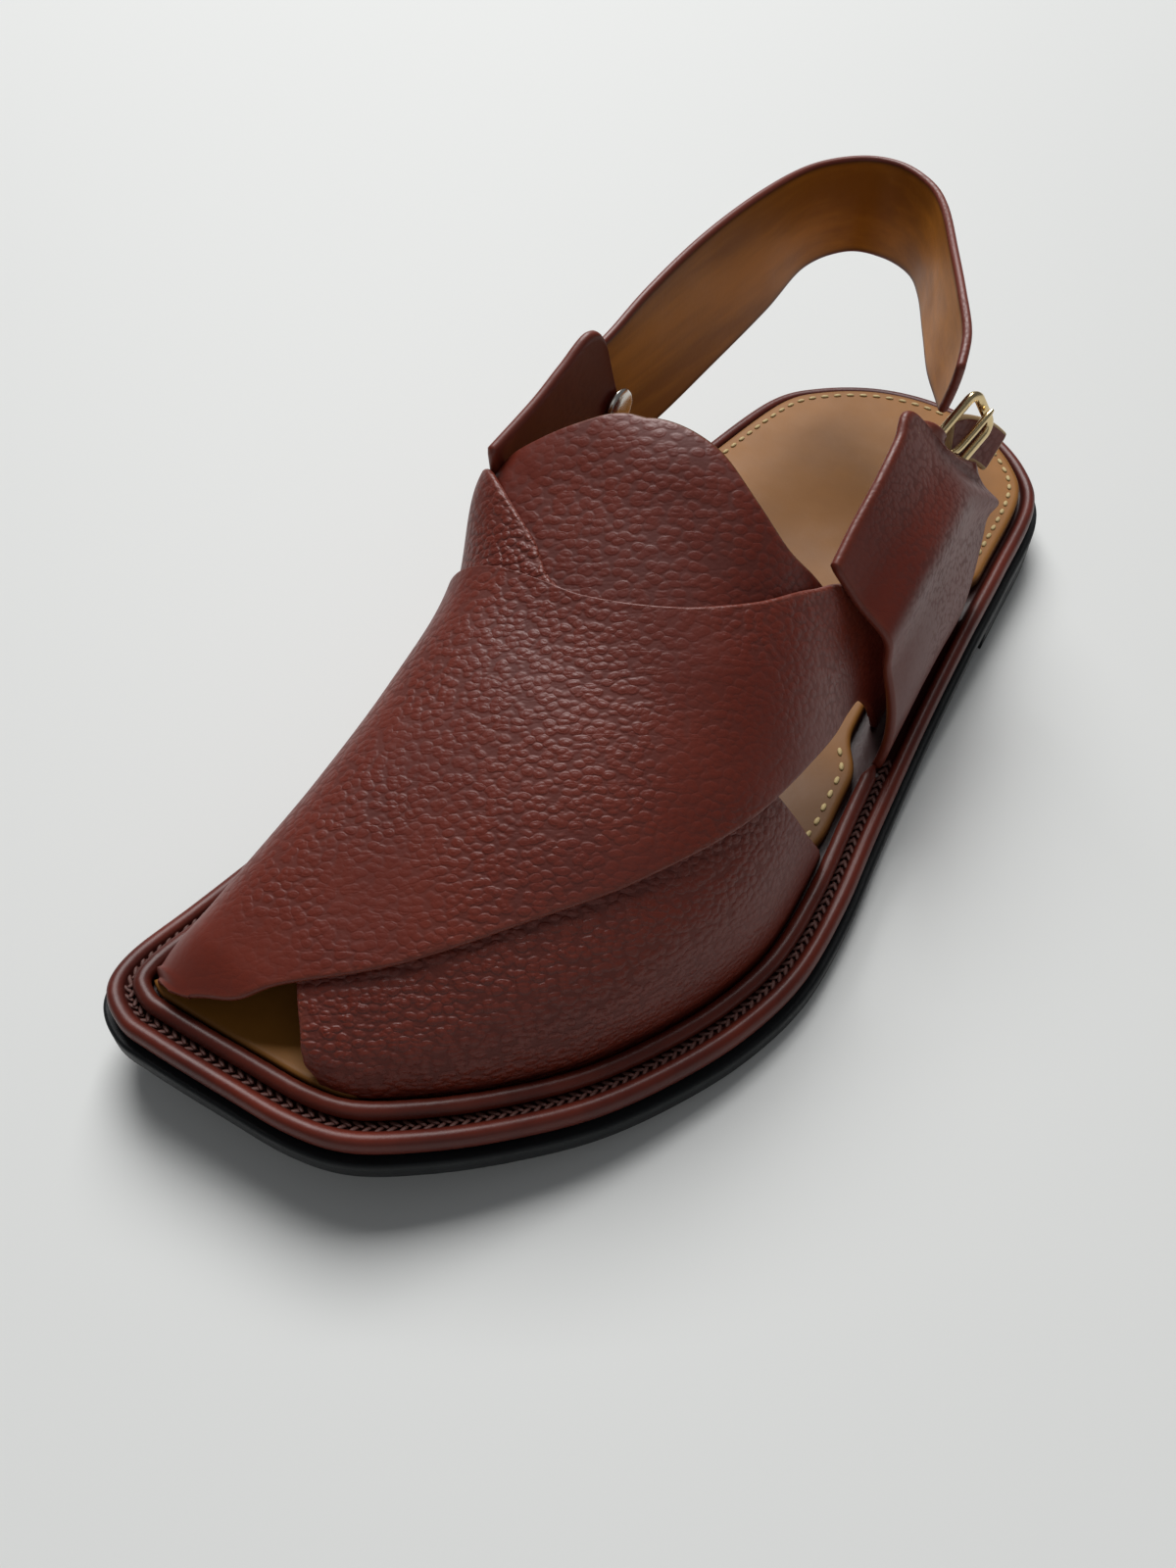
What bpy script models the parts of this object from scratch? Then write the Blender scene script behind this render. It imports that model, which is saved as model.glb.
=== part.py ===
"""Open-toed leather sandal for the left foot: crossed bands, throat flap, two ears and a heel strap.

Metres, +Z up. The toe points to -Y and the wearer's left side, the outer one, is +X.
"""
import math

import bmesh
import bpy
import numpy as np
from mathutils import Matrix

# Driving dimensions
welt_length = 0.2915
ball_width = 0.1130
heel_width = 0.0918
instep_height = 0.0850
heel_height = 0.0066
toe_spring = 0.0112
outsole_thickness = 0.0052
outsole_ledge = 0.0018
welt_thickness = 0.0055
welt_rim_width = 0.0034
welt_groove_depth = 0.0018
welt_groove_width = 0.0020
piping_thick = 0.0036
insole_thickness = 0.0030
leather = 0.0020
ear_leather = 0.0024
tongue_leather = 0.0018
strap_thickness = 0.0022
buckle_wire = 0.0024
prong_wire = 0.0016
rivet_head = 0.0095
rivet_height = 0.0018
rivet_round = 0.0008

# Rounded edges of the boards
plate_round = 0.0006
rim_round = 0.0014

# Clearances
gap = 0.0003
leather_gap = 0.0007
ear_seat = 0.0022

# Front of the heel block: its share of the length, and how far it is hollowed
breast_share = 0.250
breast_hollow = 0.0040

# Widest part of the outline, heel to toe: along is a share of the length, out a share of ball width
heel_centre = {"along": 0.155, "out": -0.092}
outer_side = [
    {"along": 0.205, "out": 0.332},
    {"along": 0.310, "out": 0.367},
    {"along": 0.410, "out": 0.403},
    {"along": 0.515, "out": 0.449},
    {"along": 0.600, "out": 0.490},
    {"along": 0.672, "out": 0.506},
    {"along": 0.735, "out": 0.482},
    {"along": 0.795, "out": 0.430},
    {"along": 0.850, "out": 0.362},
    {"along": 0.900, "out": 0.270},
    {"along": 0.940, "out": 0.178},
]
toe_edge = [
    {"along": 0.970, "out": 0.087},
    {"along": 0.984, "out": -0.010},
    {"along": 0.991, "out": -0.140},
    {"along": 0.998, "out": -0.300},
    {"along": 0.9985, "out": -0.375},
    {"along": 0.985, "out": -0.448},
    {"along": 0.955, "out": -0.482},
]
inner_side = [
    {"along": 0.900, "out": -0.487},
    {"along": 0.820, "out": -0.492},
    {"along": 0.740, "out": -0.495},
    {"along": 0.660, "out": -0.490},
    {"along": 0.580, "out": -0.480},
    {"along": 0.500, "out": -0.474},
    {"along": 0.420, "out": -0.474},
    {"along": 0.340, "out": -0.482},
    {"along": 0.250, "out": -0.498},
    {"along": 0.205, "out": -0.501},
]

# Ridge of the last: out is a share of ball width, up a share of instep height, and the two
# roundness columns bend the outer and the inner wall, 1 for an ellipse and less for a box
last_ridge = [
    {"along": 0.30, "out": -0.17, "up": 0.96, "outer": 1.00, "inner": 0.60, "flare": 0.05},
    {"along": 0.42, "out": -0.20, "up": 1.02, "outer": 1.00, "inner": 0.50, "flare": 0.09},
    {"along": 0.50, "out": -0.205, "up": 1.02, "outer": 1.00, "inner": 0.50, "flare": 0.11},
    {"along": 0.565, "out": -0.17, "up": 0.89, "outer": 0.95, "inner": 0.42, "flare": 0.185},
    {"along": 0.63, "out": -0.135, "up": 0.765, "outer": 0.90, "inner": 0.55, "flare": 0.078},
    {"along": 0.72, "out": -0.13, "up": 0.64, "outer": 0.85, "inner": 0.60, "flare": 0.02},
    {"along": 0.80, "out": -0.17, "up": 0.53, "outer": 0.80, "inner": 0.65, "flare": 0.0},
    {"along": 0.88, "out": -0.22, "up": 0.42, "outer": 0.80, "inner": 0.70, "flare": 0.0},
    {"along": 0.94, "out": -0.27, "up": 0.34, "outer": 0.80, "inner": 0.80, "flare": 0.0},
    {"along": 1.00, "out": -0.31, "up": 0.27, "outer": 0.80, "inner": 0.80, "flare": 0.0},
]

# Bands and throat flap on the last: each row is a rung from the front edge to the rear edge.
# turn runs over the foot from 0 at the outer feather line to 1 at the inner one
over_band = [
    {"front": 0.956, "front_turn": 0.470, "rear": 0.938, "rear_turn": 1.00, "lift": 1.0},
    {"front": 0.945, "front_turn": 0.446, "rear": 0.895, "rear_turn": 1.00, "lift": 1.0},
    {"front": 0.922, "front_turn": 0.427, "rear": 0.84, "rear_turn": 1.00, "lift": 1.0},
    {"front": 0.875, "front_turn": 0.363, "rear": 0.77, "rear_turn": 1.00, "lift": 1.0},
    {"front": 0.814, "front_turn": 0.318, "rear": 0.70, "rear_turn": 1.00, "lift": 1.0},
    {"front": 0.760, "front_turn": 0.275, "rear": 0.635, "rear_turn": 1.00, "lift": 1.0},
    {"front": 0.725, "front_turn": 0.252, "rear": 0.632, "rear_turn": 0.86, "lift": 1.0},
    {"front": 0.692, "front_turn": 0.230, "rear": 0.630, "rear_turn": 0.73, "lift": 1.0},
    {"front": 0.658, "front_turn": 0.208, "rear": 0.627, "rear_turn": 0.61, "lift": 1.0},
    {"front": 0.625, "front_turn": 0.187, "rear": 0.620, "rear_turn": 0.49, "lift": 1.0},
    {"front": 0.590, "front_turn": 0.165, "rear": 0.592, "rear_turn": 0.385, "lift": 0.9},
    {"front": 0.540, "front_turn": 0.130, "rear": 0.548, "rear_turn": 0.300, "lift": 0.2},
    {"front": 0.500, "front_turn": 0.105, "rear": 0.500, "rear_turn": 0.240, "lift": -1.0},
    {"front": 0.465, "front_turn": 0.080, "rear": 0.450, "rear_turn": 0.195, "lift": -1.8},
    {"front": 0.440, "front_turn": 0.040, "rear": 0.405, "rear_turn": 0.110, "lift": -1.4},
    {"front": 0.428, "front_turn": 0.000, "rear": 0.378, "rear_turn": 0.000, "lift": -0.6},
]
under_band = [
    {"front": 0.944, "front_turn": 0.00, "rear": 0.570, "rear_turn": 0.000},
    {"front": 0.944, "front_turn": 0.08, "rear": 0.593, "rear_turn": 0.050},
    {"front": 0.944, "front_turn": 0.17, "rear": 0.611, "rear_turn": 0.105},
    {"front": 0.937, "front_turn": 0.29, "rear": 0.627, "rear_turn": 0.190},
    {"front": 0.915, "front_turn": 0.41, "rear": 0.637, "rear_turn": 0.290},
    {"front": 0.870, "front_turn": 0.53, "rear": 0.635, "rear_turn": 0.400},
    {"front": 0.820, "front_turn": 0.64, "rear": 0.623, "rear_turn": 0.500},
    {"front": 0.775, "front_turn": 0.74, "rear": 0.600, "rear_turn": 0.535},
    {"front": 0.740, "front_turn": 0.82, "rear": 0.578, "rear_turn": 0.600},
    {"front": 0.710, "front_turn": 0.90, "rear": 0.565, "rear_turn": 0.680},
    {"front": 0.692, "front_turn": 0.96, "rear": 0.562, "rear_turn": 0.810},
    {"front": 0.680, "front_turn": 1.00, "rear": 0.562, "rear_turn": 1.000},
]
throat_flap = [
    {"front": 0.560, "front_turn": 0.14, "rear": 0.462, "rear_turn": 0.195, "lift": 6.2},
    {"front": 0.610, "front_turn": 0.19, "rear": 0.478, "rear_turn": 0.235, "lift": 4.6},
    {"front": 0.650, "front_turn": 0.25, "rear": 0.496, "rear_turn": 0.285, "lift": 2.4},
    {"front": 0.680, "front_turn": 0.33, "rear": 0.497, "rear_turn": 0.345},
    {"front": 0.690, "front_turn": 0.42, "rear": 0.489, "rear_turn": 0.415},
    {"front": 0.690, "front_turn": 0.50, "rear": 0.497, "rear_turn": 0.490},
    {"front": 0.680, "front_turn": 0.57, "rear": 0.523, "rear_turn": 0.550},
    {"front": 0.665, "front_turn": 0.63, "rear": 0.543, "rear_turn": 0.610},
    {"front": 0.645, "front_turn": 0.69, "rear": 0.553, "rear_turn": 0.680},
]

# Ears: each row is an upright rung through three places. foot is where it meets the welt, and
# mid and top give along, out as a share of ball width and up as a share of instep height
outer_ear = [
    {"foot": 0.462, "mid": (0.452, 0.342, 0.40), "top": (0.468, 0.194, 0.747)},
    {"foot": 0.425, "mid": (0.418, 0.335, 0.43), "top": (0.435, 0.181, 0.788)},
    {"foot": 0.385, "mid": (0.375, 0.322, 0.45), "top": (0.392, 0.168, 0.835)},
    {"foot": 0.348, "mid": (0.330, 0.308, 0.45), "top": (0.352, 0.150, 0.868)},
    {"foot": 0.318, "mid": (0.285, 0.293, 0.43), "top": (0.322, 0.132, 0.885)},
    {"foot": 0.300, "mid": (0.248, 0.278, 0.40), "top": (0.290, 0.190, 0.740)},
    {"foot": 0.290, "mid": (0.228, 0.270, 0.38), "top": (0.252, 0.232, 0.615)},
]
inner_ear = [
    {"foot": 0.545, "mid": (0.545, -0.447, 0.52), "top": (0.549, -0.452, 0.905)},
    {"foot": 0.525, "mid": (0.520, -0.447, 0.55), "top": (0.512, -0.450, 0.948)},
    {"foot": 0.505, "mid": (0.490, -0.447, 0.57), "top": (0.478, -0.450, 0.990)},
    {"foot": 0.465, "mid": (0.448, -0.447, 0.57), "top": (0.443, -0.450, 1.028)},
    {"foot": 0.425, "mid": (0.408, -0.447, 0.54), "top": (0.422, -0.446, 0.960)},
    {"foot": 0.400, "mid": (0.380, -0.444, 0.48), "top": (0.404, -0.440, 0.740)},
]

# Route of the heel strap from the inner ear round the heel to the buckle: low and high are its
# edges as shares of instep height, and lean is how far the top edge leans away from the foot
heel_strap_route = [
    {"along": 0.450, "out": -0.4640, "low": 0.585, "high": 0.935, "lean": 0.0},
    {"along": 0.405, "out": -0.4640, "low": 0.580, "high": 0.950, "lean": 0.0},
    {"along": 0.343, "out": -0.4640, "low": 0.582, "high": 0.985, "lean": 0.0025},
    {"along": 0.257, "out": -0.4670, "low": 0.625, "high": 1.010, "lean": 0.0045},
    {"along": 0.165, "out": -0.4680, "low": 0.665, "high": 1.016, "lean": 0.0045},
    {"along": 0.086, "out": -0.4690, "low": 0.690, "high": 1.002, "lean": 0.0015},
    {"along": 0.041, "out": -0.4070, "low": 0.706, "high": 1.000, "lean": 0.0},
    {"along": 0.029, "out": -0.3190, "low": 0.706, "high": 1.000, "lean": 0.0},
    {"along": 0.0446, "out": -0.2210, "low": 0.712, "high": 1.000, "lean": 0.0},
    {"along": 0.079, "out": -0.1420, "low": 0.720, "high": 1.000, "lean": 0.0010},
    {"along": 0.144, "out": -0.0400, "low": 0.735, "high": 1.000, "lean": 0.0020},
    {"along": 0.199, "out": 0.0440, "low": 0.755, "high": 0.995, "lean": 0.0030},
    {"along": 0.240, "out": 0.1110, "low": 0.780, "high": 0.975, "lean": 0.0030},
    {"along": 0.272, "out": 0.1500, "low": 0.812, "high": 0.945, "lean": 0.0015},
]

# How far the insole's edge lies inside the welt's edge, heel to toe on each side
insole_edge_outer = [(0.00, 0.0050), (0.238, 0.0050), (0.262, 0.0090), (0.342, 0.0090),
                     (0.362, 0.0152), (0.452, 0.0152), (0.474, 0.0104), (0.550, 0.0104),
                     (0.572, 0.0124), (0.880, 0.0124), (0.920, 0.0132), (0.988, 0.0132),
                     (0.996, 0.0106), (1.00, 0.0106)]
insole_edge_inner = [(0.00, 0.0050), (0.35, 0.0050), (0.385, 0.0090), (0.500, 0.0090),
                     (0.520, 0.0140), (0.965, 0.0140), (0.985, 0.0112), (1.00, 0.0106)]

# Buckle: its sizes, its place from the rear top corner of the outer ear, and its long and short sides
buckle_length = 0.0170
buckle_height = 0.0125
buckle_behind_ear = 0.0030
buckle_over_ear = 0.0081
buckle_inside_ear = 0.0042
buckle_long_side = {"along": -0.2950, "out": 0.1416, "up": 0.5647}
buckle_short_side = {"along": 0.1401, "out": -0.3036, "up": 0.9952}

# Prong and strap tail: along and up are shares of the buckle's half sides, and out is a share of the
# clearance from the middle of its wire
prong_route = [
    {"along": -0.72, "out": 0.10},
    {"along": -0.62, "out": 0.55},
    {"along": -0.40, "out": 0.90},
    {"along": 0.20, "out": 1.00},
    {"along": 0.80, "out": 1.00},
    {"along": 1.06, "out": 1.00},
]
tail_route = [
    {"along": -0.18, "up": -0.08, "out": -1.00},
    {"along": 0.12, "up": -0.40, "out": -1.00},
    {"along": 0.42, "up": -0.96, "out": -1.00},
    {"along": 0.66, "up": -1.52, "out": -1.00},
    {"along": 0.82, "up": -2.08, "out": -0.98},
    {"along": 0.92, "up": -2.56, "out": -0.94},
]

# Rivet on the inner ear: its plan place and its height
rivet_place = {"along": 0.412, "out": -0.4215, "up": 0.765}

piping_start = 0.468
piping_end = 0.606
feather_outer = 0.0117
feather_inner = 0.0133
band_lift = 0.0016
outline_count = 122
station_step = 0.012

# Colours: red, green, blue, roughness, metallic
finishes = {
    "rubber_black": (0.012, 0.014, 0.015, 0.55, 0.0),
    "oxblood_leather": (0.115, 0.022, 0.016, 0.42, 0.0),
    "oxblood_trim": (0.100, 0.024, 0.018, 0.38, 0.0),
    "tan_leather": (0.260, 0.130, 0.050, 0.50, 0.0),
    "brass": (0.780, 0.600, 0.330, 0.25, 1.0),
    "nickel": (0.780, 0.740, 0.680, 0.28, 1.0),
}

shelf_height = outsole_thickness + gap + welt_thickness - welt_groove_depth
piping_inset = welt_rim_width + welt_groove_width + piping_thick / 2
ear_inset = welt_rim_width + ear_seat
foot_height = shelf_height + 2 * gap


def make_material(name):
    red, green, blue, roughness, metallic = finishes[name]
    material = bpy.data.materials.new(name)
    material.use_nodes = True
    shader = material.node_tree.nodes["Principled BSDF"]
    shader.inputs["Base Color"].default_value = (red, green, blue, 1.0)
    shader.inputs["Roughness"].default_value = roughness
    shader.inputs["Metallic"].default_value = metallic
    material.diffuse_color = (red, green, blue, 1.0)
    return material


def make_collection(name):
    collection = bpy.data.collections.new(name)
    bpy.context.scene.collection.children.link(collection)
    return collection


def add_object(name, mesh, collection, finish=None):
    thing = bpy.data.objects.new(name, mesh)
    collection.objects.link(thing)
    if finish:
        mesh.materials.append(bpy.data.materials[finish])
    return thing


def resample(loop, count):
    """Even spacing along a closed loop."""
    closed = np.vstack([loop, loop[:1]])
    steps = np.hypot(*np.diff(closed, axis=0).T)
    walked = np.concatenate([[0.0], np.cumsum(steps)])
    wanted = np.linspace(0.0, walked[-1], count, endpoint=False)
    return np.column_stack([np.interp(wanted, walked, closed[:, 0]),
                            np.interp(wanted, walked, closed[:, 1])])


def blend_four(p0, p1, p2, p3, t):
    """Catmull-Rom between p1 and p2."""
    return 0.5 * (2 * p1 + (p2 - p0) * t + (2 * p0 - 5 * p1 + 4 * p2 - p3) * t * t
                  + (3 * p1 - p0 - 3 * p2 + p3) * t ** 3)


def closed_spline(points, count, fine=24):
    points = np.asarray(points, float)
    size = len(points)
    dense = []
    for k in range(size):
        corners = [points[(k + j) % size] for j in (-1, 0, 1, 2)]
        dense += [blend_four(*corners, t / fine) for t in range(fine)]
    return resample(np.array(dense), count)


def open_spline(rows, count):
    """Rows of numbers eased through one after another, count of them in all."""
    rows = np.asarray(rows, float)
    last = len(rows) - 1
    out = []
    for t in np.linspace(0.0, last, count):
        k = min(int(t), last - 1)
        corners = [rows[min(max(k + j, 0), last)] for j in (-1, 0, 1, 2)]
        out.append(blend_four(*corners, t - k))
    return np.array(out)


def place(along, out):
    """Plan position of a share of the length and a share of ball width."""
    return np.array([out * ball_width, welt_length / 2 - along * welt_length])


def welt_outline():
    """Plan of the welt's edge, from the back of the heel along the outer side to the toe and back."""
    centre = place(heel_centre["along"], heel_centre["out"])
    deep = heel_centre["along"] * welt_length

    def heel_arc(degrees):
        return [centre + (heel_width / 2 * math.cos(math.radians(a)), deep * math.sin(math.radians(a)))
                for a in degrees]

    rows = [place(row["along"], row["out"]) for row in outer_side + toe_edge + inner_side]
    loop = closed_spline(heel_arc((90, 66, 42, 20)) + rows + heel_arc((160, 138, 114)), outline_count)
    return loop - (loop.max(axis=0) + loop.min(axis=0)) / 2


def outward(loop):
    ahead = np.roll(loop, -1, axis=0) - np.roll(loop, 1, axis=0)
    ahead /= np.hypot(*ahead.T)[:, None]
    return np.column_stack([-ahead[:, 1], ahead[:, 0]])


def distance_to(loop, point):
    start = loop
    edge = np.roll(loop, -1, axis=0) - start
    along = np.clip(((point - start) * edge).sum(axis=1) / (edge * edge).sum(axis=1), 0, 1)
    return np.hypot(*(point - start - along[:, None] * edge).T).min()


def inset(loop, depth, slack=0.0002):
    """The loop moved inward by depth, one number or one for each point, with crossings cut off."""
    depth = np.broadcast_to(depth, len(loop))
    moved = loop - outward(loop) * depth[:, None]
    kept = [p for p, d in zip(moved, depth) if distance_to(loop, p) > d - slack]
    return resample(np.array(kept), len(loop))


def outset(loop, depth):
    return loop + outward(loop) * depth


def eased(t):
    t = min(max(t, 0.0), 1.0)
    return t * t * (3 - 2 * t)


def share_of(y):
    return (welt_length / 2 - y) / welt_length


def rise(y):
    """Height of the outsole's underside: on the heel, down to the tread, then up at the toe."""
    share = share_of(y)
    waist = heel_height * (1 - eased((share - breast_share) / 0.26))
    toe = toe_spring * min(max((share - 0.655) / 0.345, 0.0), 1.05) ** 1.9
    return waist + toe


def edges_at(loop, y):
    """Outer and inner x of a loop at one place along the foot."""
    y = min(max(y, loop[:, 1].min() + 1e-5), loop[:, 1].max() - 1e-5)
    crossings = []
    for a, b in zip(loop, np.roll(loop, -1, axis=0)):
        if (a[1] - y) * (b[1] - y) <= 0 and a[1] != b[1]:
            crossings.append(a[0] + (y - a[1]) / (b[1] - a[1]) * (b[0] - a[0]))
    return max(crossings), min(crossings)


def column(table, share, name):
    """One column of a table, eased between its rows."""
    xs = np.array([row["along"] for row in table])
    ys = np.array([row[name] for row in table])
    slopes = np.gradient(ys, xs)
    share = min(max(share, xs[0]), xs[-1])
    k = min(max(int(np.searchsorted(xs, share)) - 1, 0), len(xs) - 2)
    wide = xs[k + 1] - xs[k]
    t = (share - xs[k]) / wide
    return ((2 * t ** 3 - 3 * t ** 2 + 1) * ys[k] + (t ** 3 - 2 * t ** 2 + t) * wide * slopes[k]
            + (3 * t ** 2 - 2 * t ** 3) * ys[k + 1] + (t ** 3 - t ** 2) * wide * slopes[k + 1])


def side_share(loop, toe_row, index):
    """Whether a point of the outline is on the outer side, and its share along the foot."""
    return index <= toe_row, share_of(loop[index][1])


def varied_inset(loop, outer_table, inner_table):
    """Inset whose depth follows a table on each side."""
    toe_row = int(np.argmin(loop[:, 1]))
    depths = []
    for index in range(len(loop)):
        outer, share = side_share(loop, toe_row, index)
        table = outer_table if outer else inner_table
        depths.append(np.interp(share, [row[0] for row in table], [row[1] for row in table]))
    base = min(depths)
    first = inset(loop, base)
    extra = np.array(depths) - base
    return inset(first, extra, 0.0012)


welt_loop = welt_outline()
feather_loop = varied_inset(welt_loop, [(0.0, feather_outer), (1.0, feather_outer)],
                            [(0.0, feather_inner), (0.985, feather_inner), (1.0, feather_outer)])


def last_point(share, turn):
    """A place on the last, at a share of the length and a turn over the foot."""
    y = welt_length / 2 - share * welt_length
    outer, inner = edges_at(feather_loop, y)
    base = rise(y) + foot_height
    ridge = column(last_ridge, share, "out") * ball_width
    top = column(last_ridge, share, "up") * instep_height
    angle = math.pi * min(max(turn, 0.0), 1.0)
    across, up = math.cos(angle), math.sin(angle)
    if across >= 0:
        bend = column(last_ridge, share, "outer")
        x = ridge + (outer - ridge) * across ** bend
        z = base + (top - base) * up ** bend
    else:
        bend = column(last_ridge, share, "inner")
        spread = column(last_ridge, share, "flare") * ball_width * up
        x = ridge + (inner - spread - ridge) * (-across) ** bend
        z = base + (top - base) * up ** bend
    return np.array([x, y, z])


def last_normal(share, turn):
    step = 0.004
    turn = min(max(turn, 0.03), 0.97)
    ahead = last_point(share + step, turn) - last_point(share - step, turn)
    over = last_point(share, turn + step) - last_point(share, turn - step)
    normal = np.cross(over, ahead)
    return normal / np.linalg.norm(normal)


def grid_mesh(name, grid, outward_hint):
    """A mesh over a grid of points, facing the way of the hint at its middle where one is given."""
    rows, columns = len(grid), len(grid[0])
    mesh = bpy.data.meshes.new(name)
    work = bmesh.new()
    points = [[work.verts.new(p) for p in row] for row in grid]
    for i in range(rows - 1):
        for j in range(columns - 1):
            work.faces.new((points[i][j], points[i][j + 1], points[i + 1][j + 1], points[i + 1][j]))
    work.normal_update()
    middle = sum((np.array(face.normal) for face in work.faces), np.zeros(3))
    if outward_hint is not None and middle @ np.array(outward_hint) < 0:
        bmesh.ops.reverse_faces(work, faces=work.faces[:])
    work.to_mesh(mesh)
    work.free()
    return mesh


def add_wall(thing, thickness, outer=True):
    wall = thing.modifiers.new("wall", "SOLIDIFY")
    wall.thickness = thickness
    wall.offset = 1.0 if outer else -1.0
    wall.use_even_offset = False
    return wall


def band_grid(table, along_count, across_count, raised):
    """Points of a strap between its front and rear edges, raised off the last."""
    names = ["front", "front_turn", "rear", "rear_turn"]
    lifts = [row.get("lift", 1.0) for row in table]
    rows = [[row[n] for n in names] + [lift] for row, lift in zip(table, lifts)]
    grid = []
    for front, front_turn, rear, rear_turn, lift in open_spline(rows, along_count):
        line = []
        for t in np.linspace(0.0, 1.0, across_count):
            share = front + (rear - front) * t
            turn = min(max(front_turn + (rear_turn - front_turn) * t, 0.0), 1.0)
            normal = last_normal(share, turn)
            flat = min(turn, 1 - turn) < 0.02
            if flat:
                normal = np.array([math.copysign(1.0, 0.5 - turn), 0.0, 0.0])
            line.append(last_point(share, turn) + normal * raised * lift)
        grid.append(line)
    return grid


def loft_plate(name, rings, finish, collection, bent=True):
    """A plate from rings of one outline, each with its height, bent to follow the sole."""
    work = bmesh.new()
    levels = [[work.verts.new((x, y, height)) for x, y in loop] for loop, height in rings]
    size = len(levels[0])
    for low, high in zip(levels, levels[1:]):
        for k in range(size):
            j = (k + 1) % size
            work.faces.new((low[k], low[j], high[j], high[k]))
    work.faces.new(levels[0])
    work.faces.new(levels[-1])
    bmesh.ops.recalc_face_normals(work, faces=work.faces[:])
    if bent:
        ys = [v.co.y for v in work.verts]
        cut = min(ys) + station_step / 2
        while cut < max(ys) - station_step / 3:
            everything = work.verts[:] + work.edges[:] + work.faces[:]
            bmesh.ops.bisect_plane(work, geom=everything, plane_co=(0, cut, 0), plane_no=(0, 1, 0),
                                   dist=1e-6)
            cut += station_step
        for vertex in work.verts:
            vertex.co.z += rise(vertex.co.y)
    bmesh.ops.triangulate(work, faces=work.faces[:])
    mesh = bpy.data.meshes.new(name)
    work.to_mesh(mesh)
    work.free()
    return add_object(name, mesh, collection, finish)


def add_wire(name, centres, thick, finish, collection, closed=False):
    """A round bead or wire along a path."""
    curve = bpy.data.curves.new(name, "CURVE")
    curve.dimensions = "3D"
    curve.bevel_depth = thick / 2
    curve.bevel_resolution = 2
    curve.use_fill_caps = not closed
    line = curve.splines.new("POLY")
    line.points.add(len(centres) - 1)
    for point, centre in zip(line.points, centres):
        point.co = (*centre, 1.0)
    line.use_cyclic_u = closed
    return add_object(name, curve, collection, finish)


def build_outsole(parts):
    ledge = outset(welt_loop, outsole_ledge)
    drawn_in = outset(welt_loop, outsole_ledge - plate_round)
    loft_plate("outsole", [
        (drawn_in, 0.0),
        (ledge, plate_round),
        (ledge, outsole_thickness - plate_round),
        (drawn_in, outsole_thickness),
    ], "rubber_black", parts)


def build_heel(parts):
    """Heel block with a gently hollow breast, flat on the floor."""
    ledge = outset(welt_loop, outsole_ledge)
    reach = breast_share * welt_length
    first = next(k for k, p in enumerate(ledge) if welt_length / 2 - p[1] >= reach)
    back_half = [p for k, p in enumerate(ledge) if k > first and welt_length / 2 - p[1] < reach]
    front_half = [p for k, p in enumerate(ledge) if k < first]
    outer_x, inner_x = edges_at(ledge, welt_length / 2 - reach)
    breast = []
    for t in np.linspace(0.0, 1.0, 9):
        hollow = breast_hollow * math.sin(math.pi * t)
        breast.append((outer_x + (inner_x - outer_x) * t, welt_length / 2 - reach + hollow))
    plan = np.array(front_half + breast + back_half)
    middle = plan.mean(axis=0)

    def drawn_in(amount):
        spans = plan - middle
        return middle + spans * (1 - amount / np.hypot(*spans.T))[:, None]

    top = heel_height - gap
    loft_plate("heel", [
        (drawn_in(plate_round), 0.0),
        (drawn_in(0.0), plate_round),
        (drawn_in(0.0), top - plate_round),
        (drawn_in(plate_round), top),
    ], "rubber_black", parts, bent=False)


def build_welt(parts):
    """Leather covered board: a rounded rim, a stitched groove inside it and a flat shelf."""
    base = outsole_thickness + gap
    top = base + welt_thickness
    shelf = top - welt_groove_depth
    rings = [
        (inset(welt_loop, rim_round * 0.6), base),
        (welt_loop, base + rim_round),
        (welt_loop, top - rim_round),
        (inset(welt_loop, rim_round * 0.3), top - rim_round * 0.3),
        (inset(welt_loop, rim_round), top),
        (inset(welt_loop, welt_rim_width - plate_round), top),
        (inset(welt_loop, welt_rim_width), top - plate_round),
        (inset(welt_loop, welt_rim_width + gap / 3), shelf),
    ]
    loft_plate("welt", rings, "oxblood_trim", parts)


def path_points(loop, height, start_outer, end_inner):
    """The stretch of a loop round the toe, from a share on the outer side to one on the inner."""
    toe_row = int(np.argmin(loop[:, 1]))
    kept = []
    for index in range(len(loop)):
        outer, share = side_share(loop, toe_row, index)
        if share >= (start_outer if outer else end_inner):
            x, y = loop[index]
            kept.append(np.array([x, y, rise(y) + height]))
    return kept


def build_piping(parts):
    """A round bead on the shelf, from the outer waist round the toe to the inner waist."""
    centre_height = shelf_height + gap + piping_thick / 2
    centres = path_points(inset(welt_loop, piping_inset), centre_height, piping_start, piping_end)
    add_wire("piping", centres, piping_thick, "oxblood_trim", parts)


def build_insole(parts):
    edge = varied_inset(welt_loop, insole_edge_outer, insole_edge_inner)
    base = shelf_height + gap
    loft_plate("insole", [
        (edge, base),
        (edge, base + insole_thickness - plate_round),
        (inset(edge, plate_round), base + insole_thickness),
    ], "tan_leather", parts)


def build_upper(parts, cutters):
    """The two crossed bands, joined where one lies on the other."""
    over = add_object("upper", grid_mesh("upper", band_grid(over_band, 30, 12, band_lift), (0, 0, 1)),
                      parts, "oxblood_leather")
    add_wall(over, leather)
    under = add_object("under_band", grid_mesh("under_band", band_grid(under_band, 24, 17, 0.0),
                                               (0, 0, 1)), cutters)
    add_wall(under, leather)
    under.hide_render = True
    under.display_type = "WIRE"
    joined = over.modifiers.new("joined", "BOOLEAN")
    joined.operation = "UNION"
    joined.object = under
    joined.solver = "EXACT"


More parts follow.
